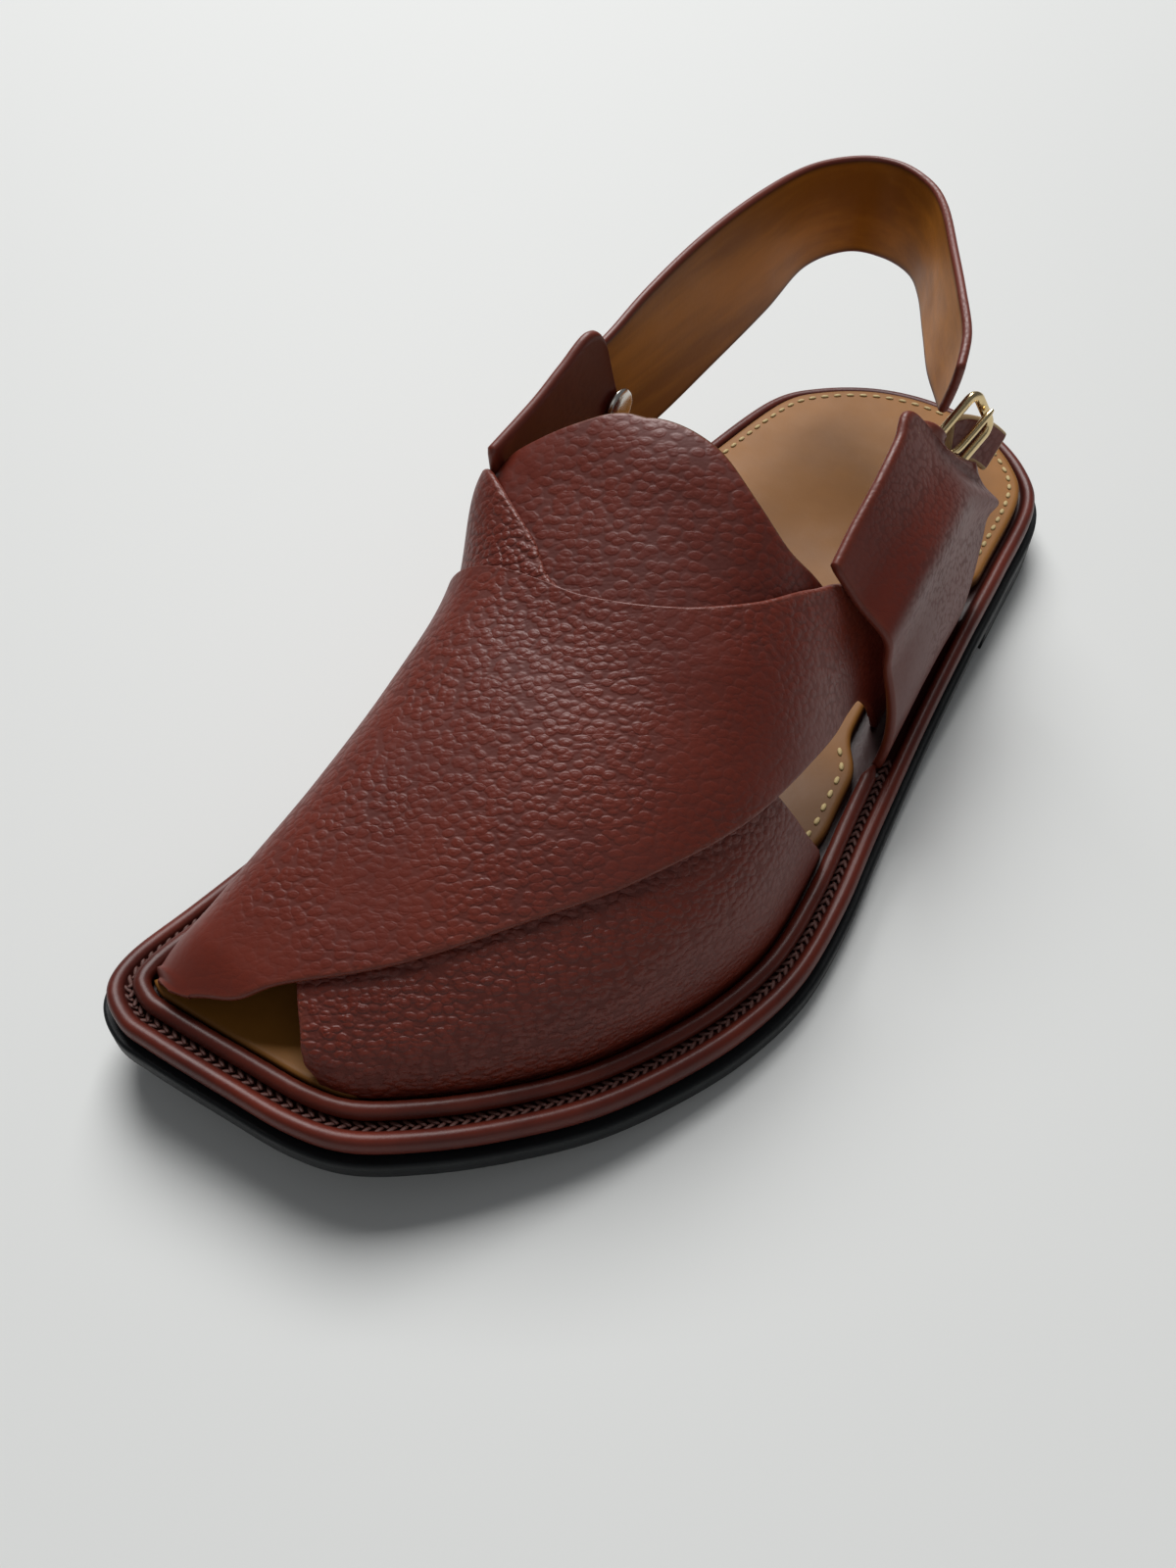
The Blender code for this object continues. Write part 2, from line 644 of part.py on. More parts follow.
def build_tongue(parts):
    grid = band_grid(throat_flap, 16, 9, -leather_gap)
    flap = add_object("tongue", grid_mesh("tongue", grid, (0, 0, 1)), parts, "oxblood_leather")
    add_wall(flap, tongue_leather, outer=False)


def ear_grid(table, outer, along_count, up_count):
    """Points of an ear's outer face: each rung bows through its foot, middle and top."""
    side = 1 if outer else -1
    line = inset(welt_loop, ear_inset)
    rows = []
    for row in table:
        y = welt_length / 2 - row["foot"] * welt_length
        foot_x = edges_at(line, y)[0 if outer else 1]
        numbers = [foot_x, y, rise(y) + foot_height]
        for along, out, up in (row["mid"], row["top"]):
            numbers += [out * ball_width, welt_length / 2 - along * welt_length, up * instep_height]
        rows.append(numbers)
    grid = []
    for numbers in open_spline(rows, along_count):
        foot, mid, top = numbers[0:3], numbers[3:6], numbers[6:9]
        line_points = []
        for t in np.linspace(0.0, 1.0, up_count):
            point = foot * (1 - t) * (1 - 2 * t) + mid * 4 * t * (1 - t) + top * t * (2 * t - 1)
            line_points.append(point)
        grid.append(line_points)
    return grid, (side, 0, 0.3)


def build_ear(name, table, outer, parts):
    grid, hint = ear_grid(table, outer, 14, 9)
    ear = add_object(name, grid_mesh(name, grid, hint), parts, "oxblood_leather")
    add_wall(ear, ear_leather, outer=False)


def build_heel_strap(parts):
    names = ("along", "out", "low", "high", "lean")
    rows = open_spline([[row[name] for name in names] for row in heel_strap_route], 44)
    plans = [place(along, out) for along, out, _, _, _ in rows]
    last = len(rows) - 1
    grid = []
    for k, (_, _, low, high, lean) in enumerate(rows):
        ahead = plans[min(k + 1, last)] - plans[max(k - 1, 0)]
        away = np.array([-ahead[1], ahead[0], 0.0])
        away /= np.linalg.norm(away)
        middle = np.array([*plans[k], (low + high) / 2 * instep_height]) + away * strap_thickness / 2
        rise_up = away * lean / 2 + np.array([0.0, 0.0, (high - low) / 2 * instep_height])
        grid.append([middle + rise_up * up for up in np.linspace(-1.0, 1.0, 4)])
    strap = add_object("heel_strap", grid_mesh("heel_strap", grid, None), parts, "oxblood_leather")
    add_wall(strap, strap_thickness, outer=False)


def sized(shares):
    """A direction given as shares of the named sizes, in metres."""
    return np.array([shares["out"] * ball_width, -shares["along"] * welt_length,
                     shares["up"] * instep_height])


def buckle_axes():
    """Middle of the buckle and the directions of its long side, its short side and its face."""
    along = sized(buckle_long_side)
    along /= np.linalg.norm(along)
    up = sized(buckle_short_side)
    up -= along * (up @ along)
    up /= np.linalg.norm(up)
    face = np.cross(along, up)
    corner_along, corner_out, corner_up = outer_ear[-1]["top"]
    corner = np.array([*place(corner_along, corner_out), corner_up * instep_height])
    middle = (corner + along * buckle_behind_ear + up * buckle_over_ear - face * buckle_inside_ear)
    return middle, along, up, face


def build_buckle(parts):
    """A wire frame with rounded corners, and a prong from its front bar over its rear bar."""
    middle, along, up, face = buckle_axes()
    corner = buckle_wire * 1.2
    half_along = buckle_length / 2 - corner
    half_up = buckle_height / 2 - corner
    centres = []
    for side_along, side_up, start in ((1, -1, 270), (1, 1, 0), (-1, 1, 90), (-1, -1, 180)):
        for turn in (0, 30, 60, 90):
            angle = math.radians(start + turn)
            centres.append(middle + along * (side_along * half_along + corner * math.cos(angle))
                           + up * (side_up * half_up + corner * math.sin(angle)))
    add_wire("buckle_frame", centres, buckle_wire, "brass", parts, closed=True)
    clear = (buckle_wire + prong_wire) / 2 + gap
    prong = [middle + along * row["along"] * buckle_length / 2 + face * row["out"] * clear
             for row in prong_route]
    add_wire("buckle_prong", prong, prong_wire, "brass", parts)


def build_strap_tail(parts):
    """The end of the strap, hanging behind the buckle and the corner of the ear."""
    middle, along, up, face = buckle_axes()
    clear = buckle_wire / 2 + gap + strap_thickness / 2
    half_width = (buckle_height - buckle_wire) / 2 - gap * 2
    rows = open_spline([[row["along"], row["up"], row["out"]] for row in tail_route], 12)
    centres = [middle + along * a * buckle_length / 2 + up * u * buckle_height / 2 + face * o * clear
               for a, u, o in rows]
    last = len(centres) - 1
    grid = []
    for k, centre in enumerate(centres):
        ahead = centres[min(k + 1, last)] - centres[max(k - 1, 0)]
        wide = np.cross(face, ahead)
        wide /= np.linalg.norm(wide)
        grid.append([centre + wide * side * half_width + face * strap_thickness / 2
                     for side in np.linspace(-1.0, 1.0, 4)])
    tail = add_object("strap_tail", grid_mesh("strap_tail", grid, face), parts, "oxblood_leather")
    add_wall(tail, strap_thickness, outer=False)


def build_rivet(parts):
    """A domed cap on the inner ear's inside face."""
    mesh = bpy.data.meshes.new("rivet")
    work = bmesh.new()
    flat = np.array([*place(rivet_place["along"], rivet_place["out"]), rivet_place["up"] * instep_height])
    seat = Matrix.Translation(flat + np.array([rivet_height / 2, 0.0, 0.0])) @ Matrix.Rotation(
        math.pi / 2, 4, "Y")
    bmesh.ops.create_cone(work, cap_ends=True, segments=20, radius1=rivet_head / 2,
                          radius2=rivet_head / 2, depth=rivet_height, matrix=seat)
    work.to_mesh(mesh)
    work.free()
    cap = add_object("rivet", mesh, parts, "nickel")
    rounded = cap.modifiers.new("rounded", "BEVEL")
    rounded.width = rivet_round
    rounded.segments = 2
    rounded.limit_method = "ANGLE"


def main():
    for thing in list(bpy.data.objects):
        bpy.data.objects.remove(thing, do_unlink=True)
    for name in finishes:
        make_material(name)
    parts = make_collection("peshawari_chappal")
    cutters = make_collection("cutters")
    build_outsole(parts)
    build_heel(parts)
    build_welt(parts)
    build_piping(parts)
    build_insole(parts)
    build_upper(parts, cutters)
    build_tongue(parts)
    build_ear("ear_outer", outer_ear, True, parts)
    build_ear("ear_inner", inner_ear, False, parts)
    build_heel_strap(parts)
    build_strap_tail(parts)
    build_buckle(parts)
    build_rivet(parts)


main()
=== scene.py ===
import math

import bmesh
import bpy
import numpy as np
from mathutils import Matrix, Vector


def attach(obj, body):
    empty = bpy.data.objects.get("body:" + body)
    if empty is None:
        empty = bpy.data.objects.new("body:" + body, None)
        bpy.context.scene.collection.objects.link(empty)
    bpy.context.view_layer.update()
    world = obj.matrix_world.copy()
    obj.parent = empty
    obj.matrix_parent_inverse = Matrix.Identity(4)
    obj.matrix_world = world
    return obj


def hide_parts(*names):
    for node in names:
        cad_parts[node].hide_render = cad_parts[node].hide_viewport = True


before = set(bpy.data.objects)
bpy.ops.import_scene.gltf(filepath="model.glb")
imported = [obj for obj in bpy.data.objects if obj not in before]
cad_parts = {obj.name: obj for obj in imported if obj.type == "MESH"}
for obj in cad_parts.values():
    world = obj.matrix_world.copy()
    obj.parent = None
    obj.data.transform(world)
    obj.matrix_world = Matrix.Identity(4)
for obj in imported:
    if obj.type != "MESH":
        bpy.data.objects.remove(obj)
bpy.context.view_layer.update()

# Sizes of the shoe in metres, shared by every piece
shoe = {
    "length": 0.2915, "ball": 0.1130, "heelWidth": 0.0918, "instep": 0.0850,
    "heelLift": 0.0066, "toeSpring": 0.0112, "breast": 0.250, "breastHollow": 0.004,
    "outsole": 0.0052, "ledge": 0.0018, "welt": 0.0055, "rim": 0.0034, "groove": 0.0018,
    "pipingWide": 0.0036, "pipingHigh": 0.0036, "insole": 0.0030,
    "leather": 0.0020, "earLeather": 0.0024, "flapLeather": 0.0018, "strapLeather": 0.0022,
    "gap": 0.0003, "bandLift": 0.0016, "flapGap": 0.0007,
    "featherOuter": 0.0117, "featherInner": 0.0133, "normalTo": 0.935,
}
shelfHeight = shoe["outsole"] + shoe["gap"] + shoe["welt"] - shoe["groove"]
footHeight = shelfHeight + 2 * shoe["gap"]
pipingInset = shoe["rim"] + 0.0020 + shoe["pipingWide"] / 2
earInset = shoe["rim"] + 0.0022

# Plan of the welt: share of the length from the heel, and share of ball width from the middle
heelCentre = (0.155, -0.092)
outerSide = [(0.205, 0.332), (0.310, 0.367), (0.410, 0.403), (0.515, 0.449), (0.600, 0.490), (0.672, 0.506),
             (0.735, 0.482), (0.795, 0.430), (0.850, 0.362), (0.900, 0.270), (0.940, 0.178)]
toeEdge = [(0.970, 0.087), (0.984, -0.010), (0.991, -0.140), (0.998, -0.300), (0.9985, -0.375),
           (0.985, -0.448), (0.955, -0.482)]
innerSide = [(0.900, -0.487), (0.820, -0.492), (0.740, -0.495), (0.660, -0.490), (0.580, -0.480),
             (0.500, -0.474), (0.420, -0.474), (0.340, -0.482), (0.250, -0.498), (0.205, -0.501)]

# Ridge of the last: along, out, up, outer roundness, inner roundness, inner flare
lastRidge = [(0.30, -0.17, 0.96, 1.00, 0.60, 0.05), (0.42, -0.20, 1.02, 1.00, 0.50, 0.09),
             (0.50, -0.205, 1.02, 1.00, 0.50, 0.11), (0.565, -0.17, 0.89, 0.95, 0.42, 0.185),
             (0.63, -0.135, 0.765, 0.90, 0.55, 0.078), (0.72, -0.13, 0.64, 0.85, 0.60, 0.02),
             (0.80, -0.17, 0.53, 0.80, 0.65, 0.0), (0.88, -0.22, 0.42, 0.80, 0.70, 0.0),
             (0.94, -0.27, 0.34, 0.80, 0.80, 0.0), (1.00, -0.31, 0.27, 0.80, 0.80, 0.0)]


def blendFour(p0, p1, p2, p3, t):
    return 0.5 * (2 * p1 + (p2 - p0) * t + (2 * p0 - 5 * p1 + 4 * p2 - p3) * t * t
                  + (3 * p1 - p0 - 3 * p2 + p3) * t ** 3)


def spacedLoop(loop, count):
    closed = np.vstack([loop, loop[:1]])
    walked = np.concatenate([[0.0], np.cumsum(np.hypot(*np.diff(closed, axis=0).T))])
    wanted = np.linspace(0.0, walked[-1], count, endpoint=False)
    return np.column_stack([np.interp(wanted, walked, closed[:, k]) for k in (0, 1)])


def closedSpline(points, count, fine=40):
    points = np.asarray(points, float)
    corners = [np.roll(points, -j, axis=0) for j in (-1, 0, 1, 2)]
    dense = np.stack([blendFour(*corners, t / fine) for t in range(fine)], axis=1)
    return spacedLoop(dense.reshape(-1, 2), count)


def openSpline(rows, count):
    rows = np.asarray(rows, float)
    last = len(rows) - 1
    out = []
    for t in np.linspace(0.0, last, count):
        k = min(int(t), last - 1)
        out.append(blendFour(*[rows[min(max(k + j, 0), last)] for j in (-1, 0, 1, 2)], t - k))
    return np.array(out)


def place(along, out):
    return np.array([out * shoe["ball"], shoe["length"] / 2 - along * shoe["length"]])


def weltOutline(count):
    centre = place(*heelCentre)
    deep = heelCentre[0] * shoe["length"]

    def heelArc(degrees):
        angles = [math.radians(a) for a in degrees]
        return [centre + (shoe["heelWidth"] / 2 * math.cos(a), deep * math.sin(a)) for a in angles]

    rows = [place(*row) for row in outerSide + toeEdge + innerSide]
    loop = closedSpline(heelArc((90, 66, 42, 20)) + rows + heelArc((160, 138, 114)), count)
    return loop - (loop.max(axis=0) + loop.min(axis=0)) / 2


def outward(loop):
    ahead = np.roll(loop, -2, axis=0) - np.roll(loop, 2, axis=0)
    ahead /= np.hypot(*ahead.T)[:, None]
    return np.column_stack([-ahead[:, 1], ahead[:, 0]])


def inset(loop, depth, count=None):
    depth = np.broadcast_to(np.asarray(depth, float), len(loop))
    moved = loop - outward(loop) * depth[:, None]
    nearest = np.array([np.hypot(*(loop - p).T).min() for p in moved])
    kept = moved[nearest > depth - 0.0002]
    return spacedLoop(kept, count or len(loop))


def sides(loop):
    toeRow = int(np.argmin(loop[:, 1]))
    return np.arange(len(loop)) <= toeRow, shareOf(loop[:, 1])


def shareOf(y):
    return (shoe["length"] / 2 - y) / shoe["length"]


def variedInset(loop, outerTable, innerTable, count=None):
    isOuter, share = sides(loop)
    depths = np.where(isOuter, np.interp(share, *zip(*outerTable)),
                      np.interp(share, *zip(*innerTable)))
    window = np.ones(9) / 9
    depths = np.convolve(np.concatenate([depths[-4:], depths, depths[:4]]), window, "valid")
    return inset(loop, depths, count)


def eased(t):
    t = np.clip(t, 0.0, 1.0)
    return t * t * (3 - 2 * t)


def rise(y):
    share = shareOf(y)
    waist = shoe["heelLift"] * (1 - eased((share - shoe["breast"]) / 0.26))
    return waist + shoe["toeSpring"] * np.clip((share - 0.655) / 0.345, 0.0, 1.05) ** 1.9


def column(table, share, index):
    table = np.array(table)
    xs, ys = table[:, 0], table[:, index]
    slopes = np.gradient(ys, xs)
    share = np.clip(share, xs[0], xs[-1])
    k = np.clip(np.searchsorted(xs, share) - 1, 0, len(xs) - 2)
    wide = xs[k + 1] - xs[k]
    t = (share - xs[k]) / wide
    return ((2 * t ** 3 - 3 * t ** 2 + 1) * ys[k] + (t ** 3 - 2 * t ** 2 + t) * wide * slopes[k]
            + (3 * t ** 2 - 2 * t ** 3) * ys[k + 1] + (t ** 3 - t ** 2) * wide * slopes[k + 1])


class EdgeTable:
    # Outer and inner x of a loop, looked up by y
    def __init__(self, loop):
        heelRow = int(np.argmax(loop[:, 1]))
        rolled = np.roll(loop, -heelRow, axis=0)
        toeRow = int(np.argmin(rolled[:, 1]))
        outer, inner = rolled[:toeRow + 1], np.vstack([rolled[toeRow:], rolled[:1]])
        self.outer = outer[np.argsort(outer[:, 1])]
        self.inner = inner[np.argsort(inner[:, 1])]

    def at(self, y):
        return (np.interp(y, self.outer[:, 1], self.outer[:, 0]),
                np.interp(y, self.inner[:, 1], self.inner[:, 0]))


weltLoop = weltOutline(720)
featherLoop = variedInset(weltLoop, [(0.0, shoe["featherOuter"]), (1.0, shoe["featherOuter"])],
                          [(0.0, shoe["featherInner"]), (0.985, shoe["featherInner"]),
                           (1.0, shoe["featherOuter"])])
featherEdges = EdgeTable(featherLoop)
earEdges = EdgeTable(inset(weltLoop, earInset))


def lastPoint(share, turn):
    share, turn = np.broadcast_arrays(np.asarray(share, float), np.clip(turn, 0.0, 1.0))
    y = shoe["length"] / 2 - share * shoe["length"]
    outer, inner = featherEdges.at(y)
    base = rise(y) + footHeight
    ridge = column(lastRidge, share, 1) * shoe["ball"]
    top = column(lastRidge, share, 2) * shoe["instep"]
    across, up = np.cos(math.pi * turn), np.sin(math.pi * turn)
    outerBend, innerBend = column(lastRidge, share, 3), column(lastRidge, share, 4)
    spread = column(lastRidge, share, 5) * shoe["ball"] * up
    reach = np.abs(across)
    xOuter = ridge + (outer - ridge) * reach ** outerBend
    xInner = ridge + (inner - spread - ridge) * reach ** innerBend
    zOuter = base + (top - base) * up ** outerBend
    zInner = base + (top - base) * up ** innerBend
    x = np.where(across >= 0, xOuter, xInner)
    z = np.where(across >= 0, zOuter, zInner)
    return np.stack([x, y, z], axis=-1)


def lastNormal(share, turn, step=0.006):
    turn = np.clip(turn, 0.03, 0.97)
    ahead = lastPoint(share + step, turn) - lastPoint(share - step, turn)
    over = lastPoint(share, turn + step) - lastPoint(share, turn - step)
    normal = np.cross(over, ahead)
    return normal / np.linalg.norm(normal, axis=-1, keepdims=True)


# Shader helper: a socket with arithmetic, and one call for any node
def arithmetic(kind, turned=False):
    def work(wire, other):
        return wire.kit.add("ShaderNodeMath", {"operation": kind}, [other, wire] if turned else [wire, other])

    return work


class Wire:
    def __init__(self, kit, socket):
        self.kit, self.socket = kit, socket

    __add__ = __radd__ = arithmetic("ADD")
    __mul__ = __rmul__ = arithmetic("MULTIPLY")
    __sub__, __rsub__ = arithmetic("SUBTRACT"), arithmetic("SUBTRACT", turned=True)
    __truediv__ = arithmetic("DIVIDE")


class Finish:
    # A material being built, with its nodes added by type
    def __init__(self, name):
        self.material = bpy.data.materials.new(name)
        self.material.use_nodes = True
        self.tree = self.material.node_tree
        self.shader = self.tree.nodes["Principled BSDF"]

    def add(self, kind, settings=None, values=(), out=0):
        node = self.tree.nodes.new(kind)
        for key, value in (settings or {}).items():
            if key == "stops":
                ramp = node.color_ramp
                while len(ramp.elements) < len(value):
                    ramp.elements.new(0.5)
                for element, (position, colour) in zip(ramp.elements, value):
                    element.position = position
                    element.color = (*colour, 1.0) if len(colour) == 3 else colour
            else:
                setattr(node, key, value)
        pairs = values.items() if isinstance(values, dict) else enumerate(values)
        for key, value in pairs:
            self.feed(node.inputs[key], value)
        return Wire(self, node.outputs[out])

    def feed(self, socket, value):
        if isinstance(value, Wire):
            self.tree.links.new(value.socket, socket)
        else:
            socket.default_value = value

    def place(self, stretch=(1, 1, 1)):
        spot = self.add("ShaderNodeTexCoord", out="Object")
        return self.add("ShaderNodeMapping", {}, {"Vector": spot, "Scale": stretch})

    def noise(self, scale, detail=3.0, rough=0.5, at=None, out="Fac"):
        return self.add("ShaderNodeTexNoise", {}, {"Vector": at or self.place(), "Scale": scale,
                                                   "Detail": detail, "Roughness": rough}, out)

    def mix(self, factor, first, second, kind="MIX"):
        node = self.tree.nodes.new("ShaderNodeMix")
        node.data_type = "RGBA"
        node.blend_type = kind
        self.feed(node.inputs[0], factor)
        self.feed(node.inputs[6], first)
        self.feed(node.inputs[7], second)
        return Wire(self, node.outputs[2])

    def ramp(self, factor, stops):
        wire = self.add("ShaderNodeValToRGB", {"stops": stops}, [factor])
        wire.socket.node.color_ramp.interpolation = "EASE"
        return wire

    def mask(self, name):
        return self.add("ShaderNodeAttribute", {"attribute_name": name}, out="Fac")

    def bump(self, height, distance, strength):
        return self.add("ShaderNodeBump", {}, {"Height": height, "Distance": distance, "Strength": strength})

    def finish(self, **values):
        for key, value in values.items():
            self.feed(self.shader.inputs[key.replace("_", " ")], value)
        return self.material


def rgb(red, green, blue):
    # Screen colour, 0 to 255, as the light that the shader works in
    shares = [c / 255 for c in (red, green, blue)]
    return tuple(((c + 0.055) / 1.055) ** 2.4 if c > 10 / 255 else c / 12.92 for c in shares) + (1.0,)


grainedLeather = {
    "light": (0.165, 0.0215, 0.0085, 1.0), "middle": (0.128, 0.0155, 0.0065, 1.0),
    "dark": (0.034, 0.005, 0.003, 1.0), "edge": (0.170, 0.030, 0.014, 1.0),
    "roughness": 0.43, "specular": 0.42, "coat": 0.06, "coatRoughness": 0.34,
    "swayScale": 260.0, "swayBy": 0.0013, "run": math.radians(36), "pebbleLong": 1.45, "pebbleSoft": 0.16,
    "fineShare": 2.1, "fineSoft": 0.4, "foldSize": (4.2, 1.0, 1.6), "foldScale": 190.0,
    "patchScale": 28.0, "cloudScale": 24.0, "quiet": 0.22,
    "innerFrom": -0.056, "innerTo": -0.030, "outerFrom": 0.056, "outerTo": 0.026,
    "toeFrom": -0.138, "toeTo": -0.108,
}


def makeGrained(name, pebble, deep, calm=0.0, creased=0.0, toeCalm=True):
    # Pebbles are soft domes, a little longer across the foot, in patches that fade to smooth leather
    kit, look = Finish(name), grainedLeather
    plain = kit.place()
    sway = kit.noise(look["swayScale"], 2.0, out="Color")
    warped = kit.add("ShaderNodeVectorMath", {"operation": "MULTIPLY_ADD"},
                     [sway, [look["swayBy"]] * 3, plain])

    def across(size):
        return kit.add("ShaderNodeMapping", {"vector_type": "TEXTURE"},
                       {"Vector": warped, "Rotation": (0.0, 0.0, look["run"]), "Scale": size})

    def domes(scale, soft, random):
        return kit.add("ShaderNodeTexVoronoi", {"feature": "SMOOTH_F1"},
                       {"Vector": grain, "Scale": scale, "Smoothness": soft, "Randomness": random},
                       "Distance")

    def reach(wire, low, high):
        return kit.add("ShaderNodeMapRange", {"interpolation_type": "SMOOTHSTEP"},
                       {"Value": wire, "From Min": look[low], "From Max": look[high],
                        "To Min": look["quiet"], "To Max": 1.0})

    grain = across((look["pebbleLong"], 1.0, 1.0))
    far = domes(pebble, look["pebbleSoft"], 0.85)
    small = domes(pebble * look["fineShare"], look["fineSoft"], 1.0)
    line = kit.add("ShaderNodeTexVoronoi", {"feature": "DISTANCE_TO_EDGE"},
                   {"Vector": across(look["foldSize"]), "Scale": look["foldScale"]}, "Distance")
    x, y = [kit.add("ShaderNodeSeparateXYZ", {}, [plain], out) for out in (0, 1)]
    region = reach(x, "innerFrom", "innerTo") * (1 + look["quiet"] - reach(x, "outerTo", "outerFrom"))
    if toeCalm:
        region = region * reach(y, "toeFrom", "toeTo")
    patches = kit.ramp(kit.noise(look["patchScale"], 2.0), [(0.34, (calm, calm, calm)), (0.60, (1, 1, 1))])
    patchy = patches * region
    dome = kit.ramp(far, [(0.10, (1, 1, 1)), (0.42, (0.62, 0.62, 0.62)), (0.72, (0, 0, 0))])
    crease = 1 - kit.ramp(line, [(0.0, (0, 0, 0)), (0.045, (1, 1, 1))])
    height = (dome * 0.80 - small * 0.20) * patchy - crease * creased * region
    height = height + kit.noise(2400.0, 2.0) * 0.05
    furrowShade = kit.ramp(far, [(0.42, (0, 0, 0)), (0.78, (1, 1, 1))]) * patchy
    cloud = kit.ramp(kit.noise(look["cloudScale"], 3.0, 0.6), [(0.34, (0, 0, 0)), (0.70, (1, 1, 1))])
    base = kit.mix(cloud * 0.7, look["middle"], look["light"])
    # Painted shade: the furrows between pebbles are darkened in the base colour, standing in for shade in the
    # grain's valleys
    base = kit.mix(furrowShade * 0.32, base, look["dark"])
    base = kit.mix(kit.mask("edge") * 0.6, base, look["edge"])
    rough = look["roughness"] + furrowShade * 0.20 + (kit.noise(90.0, 2.0) - 0.5) * 0.10
    return kit.finish(Base_Color=base, Roughness=rough, Specular_IOR_Level=look["specular"],
                      Coat_Weight=look["coat"], Coat_Roughness=look["coatRoughness"],
                      Normal=kit.bump(height, deep, 1.0))


def makeSmooth(name, light, dark, roughness, coat=0.1, deep=0.00008, scale=700.0, edge=None,
               streak=(1, 1, 1), paintedShade=None):
    kit = Finish(name)
    cloud = kit.noise(35.0, 4.0, 0.6, kit.place(streak))
    base = kit.mix(kit.ramp(cloud, [(0.3, (0, 0, 0)), (0.7, (1, 1, 1))]), dark, light)
    # Painted shade: a ramp along the foot's length multiplies the base colour darker where the upper shades
    # the surface
    if paintedShade:
        y = kit.add("ShaderNodeSeparateXYZ", {}, [kit.place()], 1)
        base = kit.mix(1.0, base, kit.ramp(y / shoe["length"] + 0.5, paintedShade), "MULTIPLY")
    if edge:
        base = kit.mix(kit.mask("edge") * 0.9, base, edge)
    grain = kit.noise(scale, 4.0, 0.6) + kit.noise(scale * 0.22, 2.0) * 0.6
    rough = roughness + (kit.noise(110.0, 3.0) - 0.5) * 0.16
    return kit.finish(Base_Color=base, Roughness=rough, Specular_IOR_Level=0.26, Coat_Weight=coat,
                      Coat_Roughness=0.3, Normal=kit.bump(grain, deep, 0.8))


def makeRubber(name):
    kit = Finish(name)
    cloud = kit.noise(60.0, 4.0, 0.6)
    base = kit.mix(cloud, rgb(4, 7, 9), rgb(10, 15, 18))
    scuffs = kit.noise(240.0, 5.0, 0.7, kit.place((1, 1, 3.5)))
    base = kit.mix(kit.ramp(scuffs, [(0.62, (0, 0, 0)), (0.74, (1, 1, 1))]) * 0.25, base, rgb(70, 76, 78))
    rough = 0.52 + (kit.noise(180.0, 3.0) - 0.5) * 0.25
    return kit.finish(Base_Color=base, Roughness=rough, Specular_IOR_Level=0.30,
                      Normal=kit.bump(kit.noise(1100.0, 3.0) + scuffs * 0.5, 0.00012, 0.7))


def makeMetal(name, tint, roughness):
    kit = Finish(name)
    marks = kit.noise(500.0, 3.0, 0.6, kit.place((1, 1, 0.2)))
    base = kit.mix(marks * 0.35, tint, tuple(c * 0.72 for c in tint[:3]) + (1.0,))
    return kit.finish(Base_Color=base, Metallic=1.0, Roughness=roughness + (marks - 0.5) * 0.12,
                      Normal=kit.bump(marks, 0.00003, 0.4))


def makeThread(name, light, dark):
    kit = Finish(name)
    twist = kit.noise(2600.0, 2.0)
    return kit.finish(Base_Color=kit.mix(twist, dark, light), Roughness=0.65,
                      Normal=kit.bump(twist, 0.00012, 0.7))


finishes = {
    "band": makeGrained("bandLeather", 640.0, 0.00025, 0.35, 0.08),
    "lowBand": makeGrained("lowBandLeather", 700.0, 0.00044, 0.70, 0.05, False),
    "flap": makeGrained("flapLeather", 560.0, 0.00018, 0.60, 0.06),
    "ear": makeGrained("earLeather", 760.0, 0.00007, 0.20, 0.20),
    "strap": makeGrained("strapLeather", 760.0, 0.00007, 0.20, 0.10),
    # Welt trim: its dark edge colour is painted shade, laid by the welt's marks under its foot and in its
    # groove
    "trim": makeSmooth("trimLeather", (0.130, 0.018, 0.008, 1), (0.070, 0.010, 0.006, 1), 0.40, 0.04,
                       edge=(0.024, 0.005, 0.004, 1)),
    "piping": makeSmooth("pipingLeather", (0.105, 0.015, 0.007, 1), (0.060, 0.009, 0.005, 1), 0.40, 0.04),
    # Insole: painted shade darkens it under the bands and most around the window beside the ear
    "insole": makeSmooth("insoleLeather", (0.310, 0.125, 0.020, 1), (0.255, 0.100, 0.014, 1), 0.50, 0.0,
                         0.00005, edge=(0.130, 0.050, 0.012, 1),
                         paintedShade=[(0.12, (1, 1, 1)), (0.24, (0.60, 0.58, 0.54)),
                                (0.46, (0.44, 0.42, 0.38)), (0.58, (1, 1, 1))]),
    "lining": makeSmooth("liningLeather", (0.580, 0.215, 0.020, 1), (0.330, 0.115, 0.011, 1), 0.50, 0.0,
                         0.00006, edge=(0.070, 0.026, 0.012, 1), streak=(1.0, 0.35, 2.6)),
    "backing": makeSmooth("backingLeather", (0.110, 0.055, 0.026, 1), (0.070, 0.034, 0.017, 1), 0.75, 0.0,
                          0.00016, 1500.0),
    "rawEdge": makeSmooth("rawEdge", (0.52, 0.38, 0.22, 1), (0.40, 0.27, 0.14, 1), 0.7, 0.0, 0.00010,
                          1800.0),
    "rubber": makeRubber("outsoleRubber"),
    "brass": makeMetal("paleBrass", (0.80, 0.62, 0.34, 1), 0.20),
    "nickel": makeMetal("polishedNickel", (0.78, 0.74, 0.68, 1), 0.22),
    "weltThread": makeThread("weltThread", (0.120, 0.036, 0.024, 1), (0.046, 0.012, 0.009, 1)),
    "creamThread": makeThread("creamThread", (0.62, 0.48, 0.22, 1), (0.42, 0.30, 0.13, 1)),
}
print("finishes made:", len(finishes))


def stand(name, data):
    thing = bpy.data.objects.new(name, data)
    bpy.context.scene.collection.objects.link(thing)
    return thing


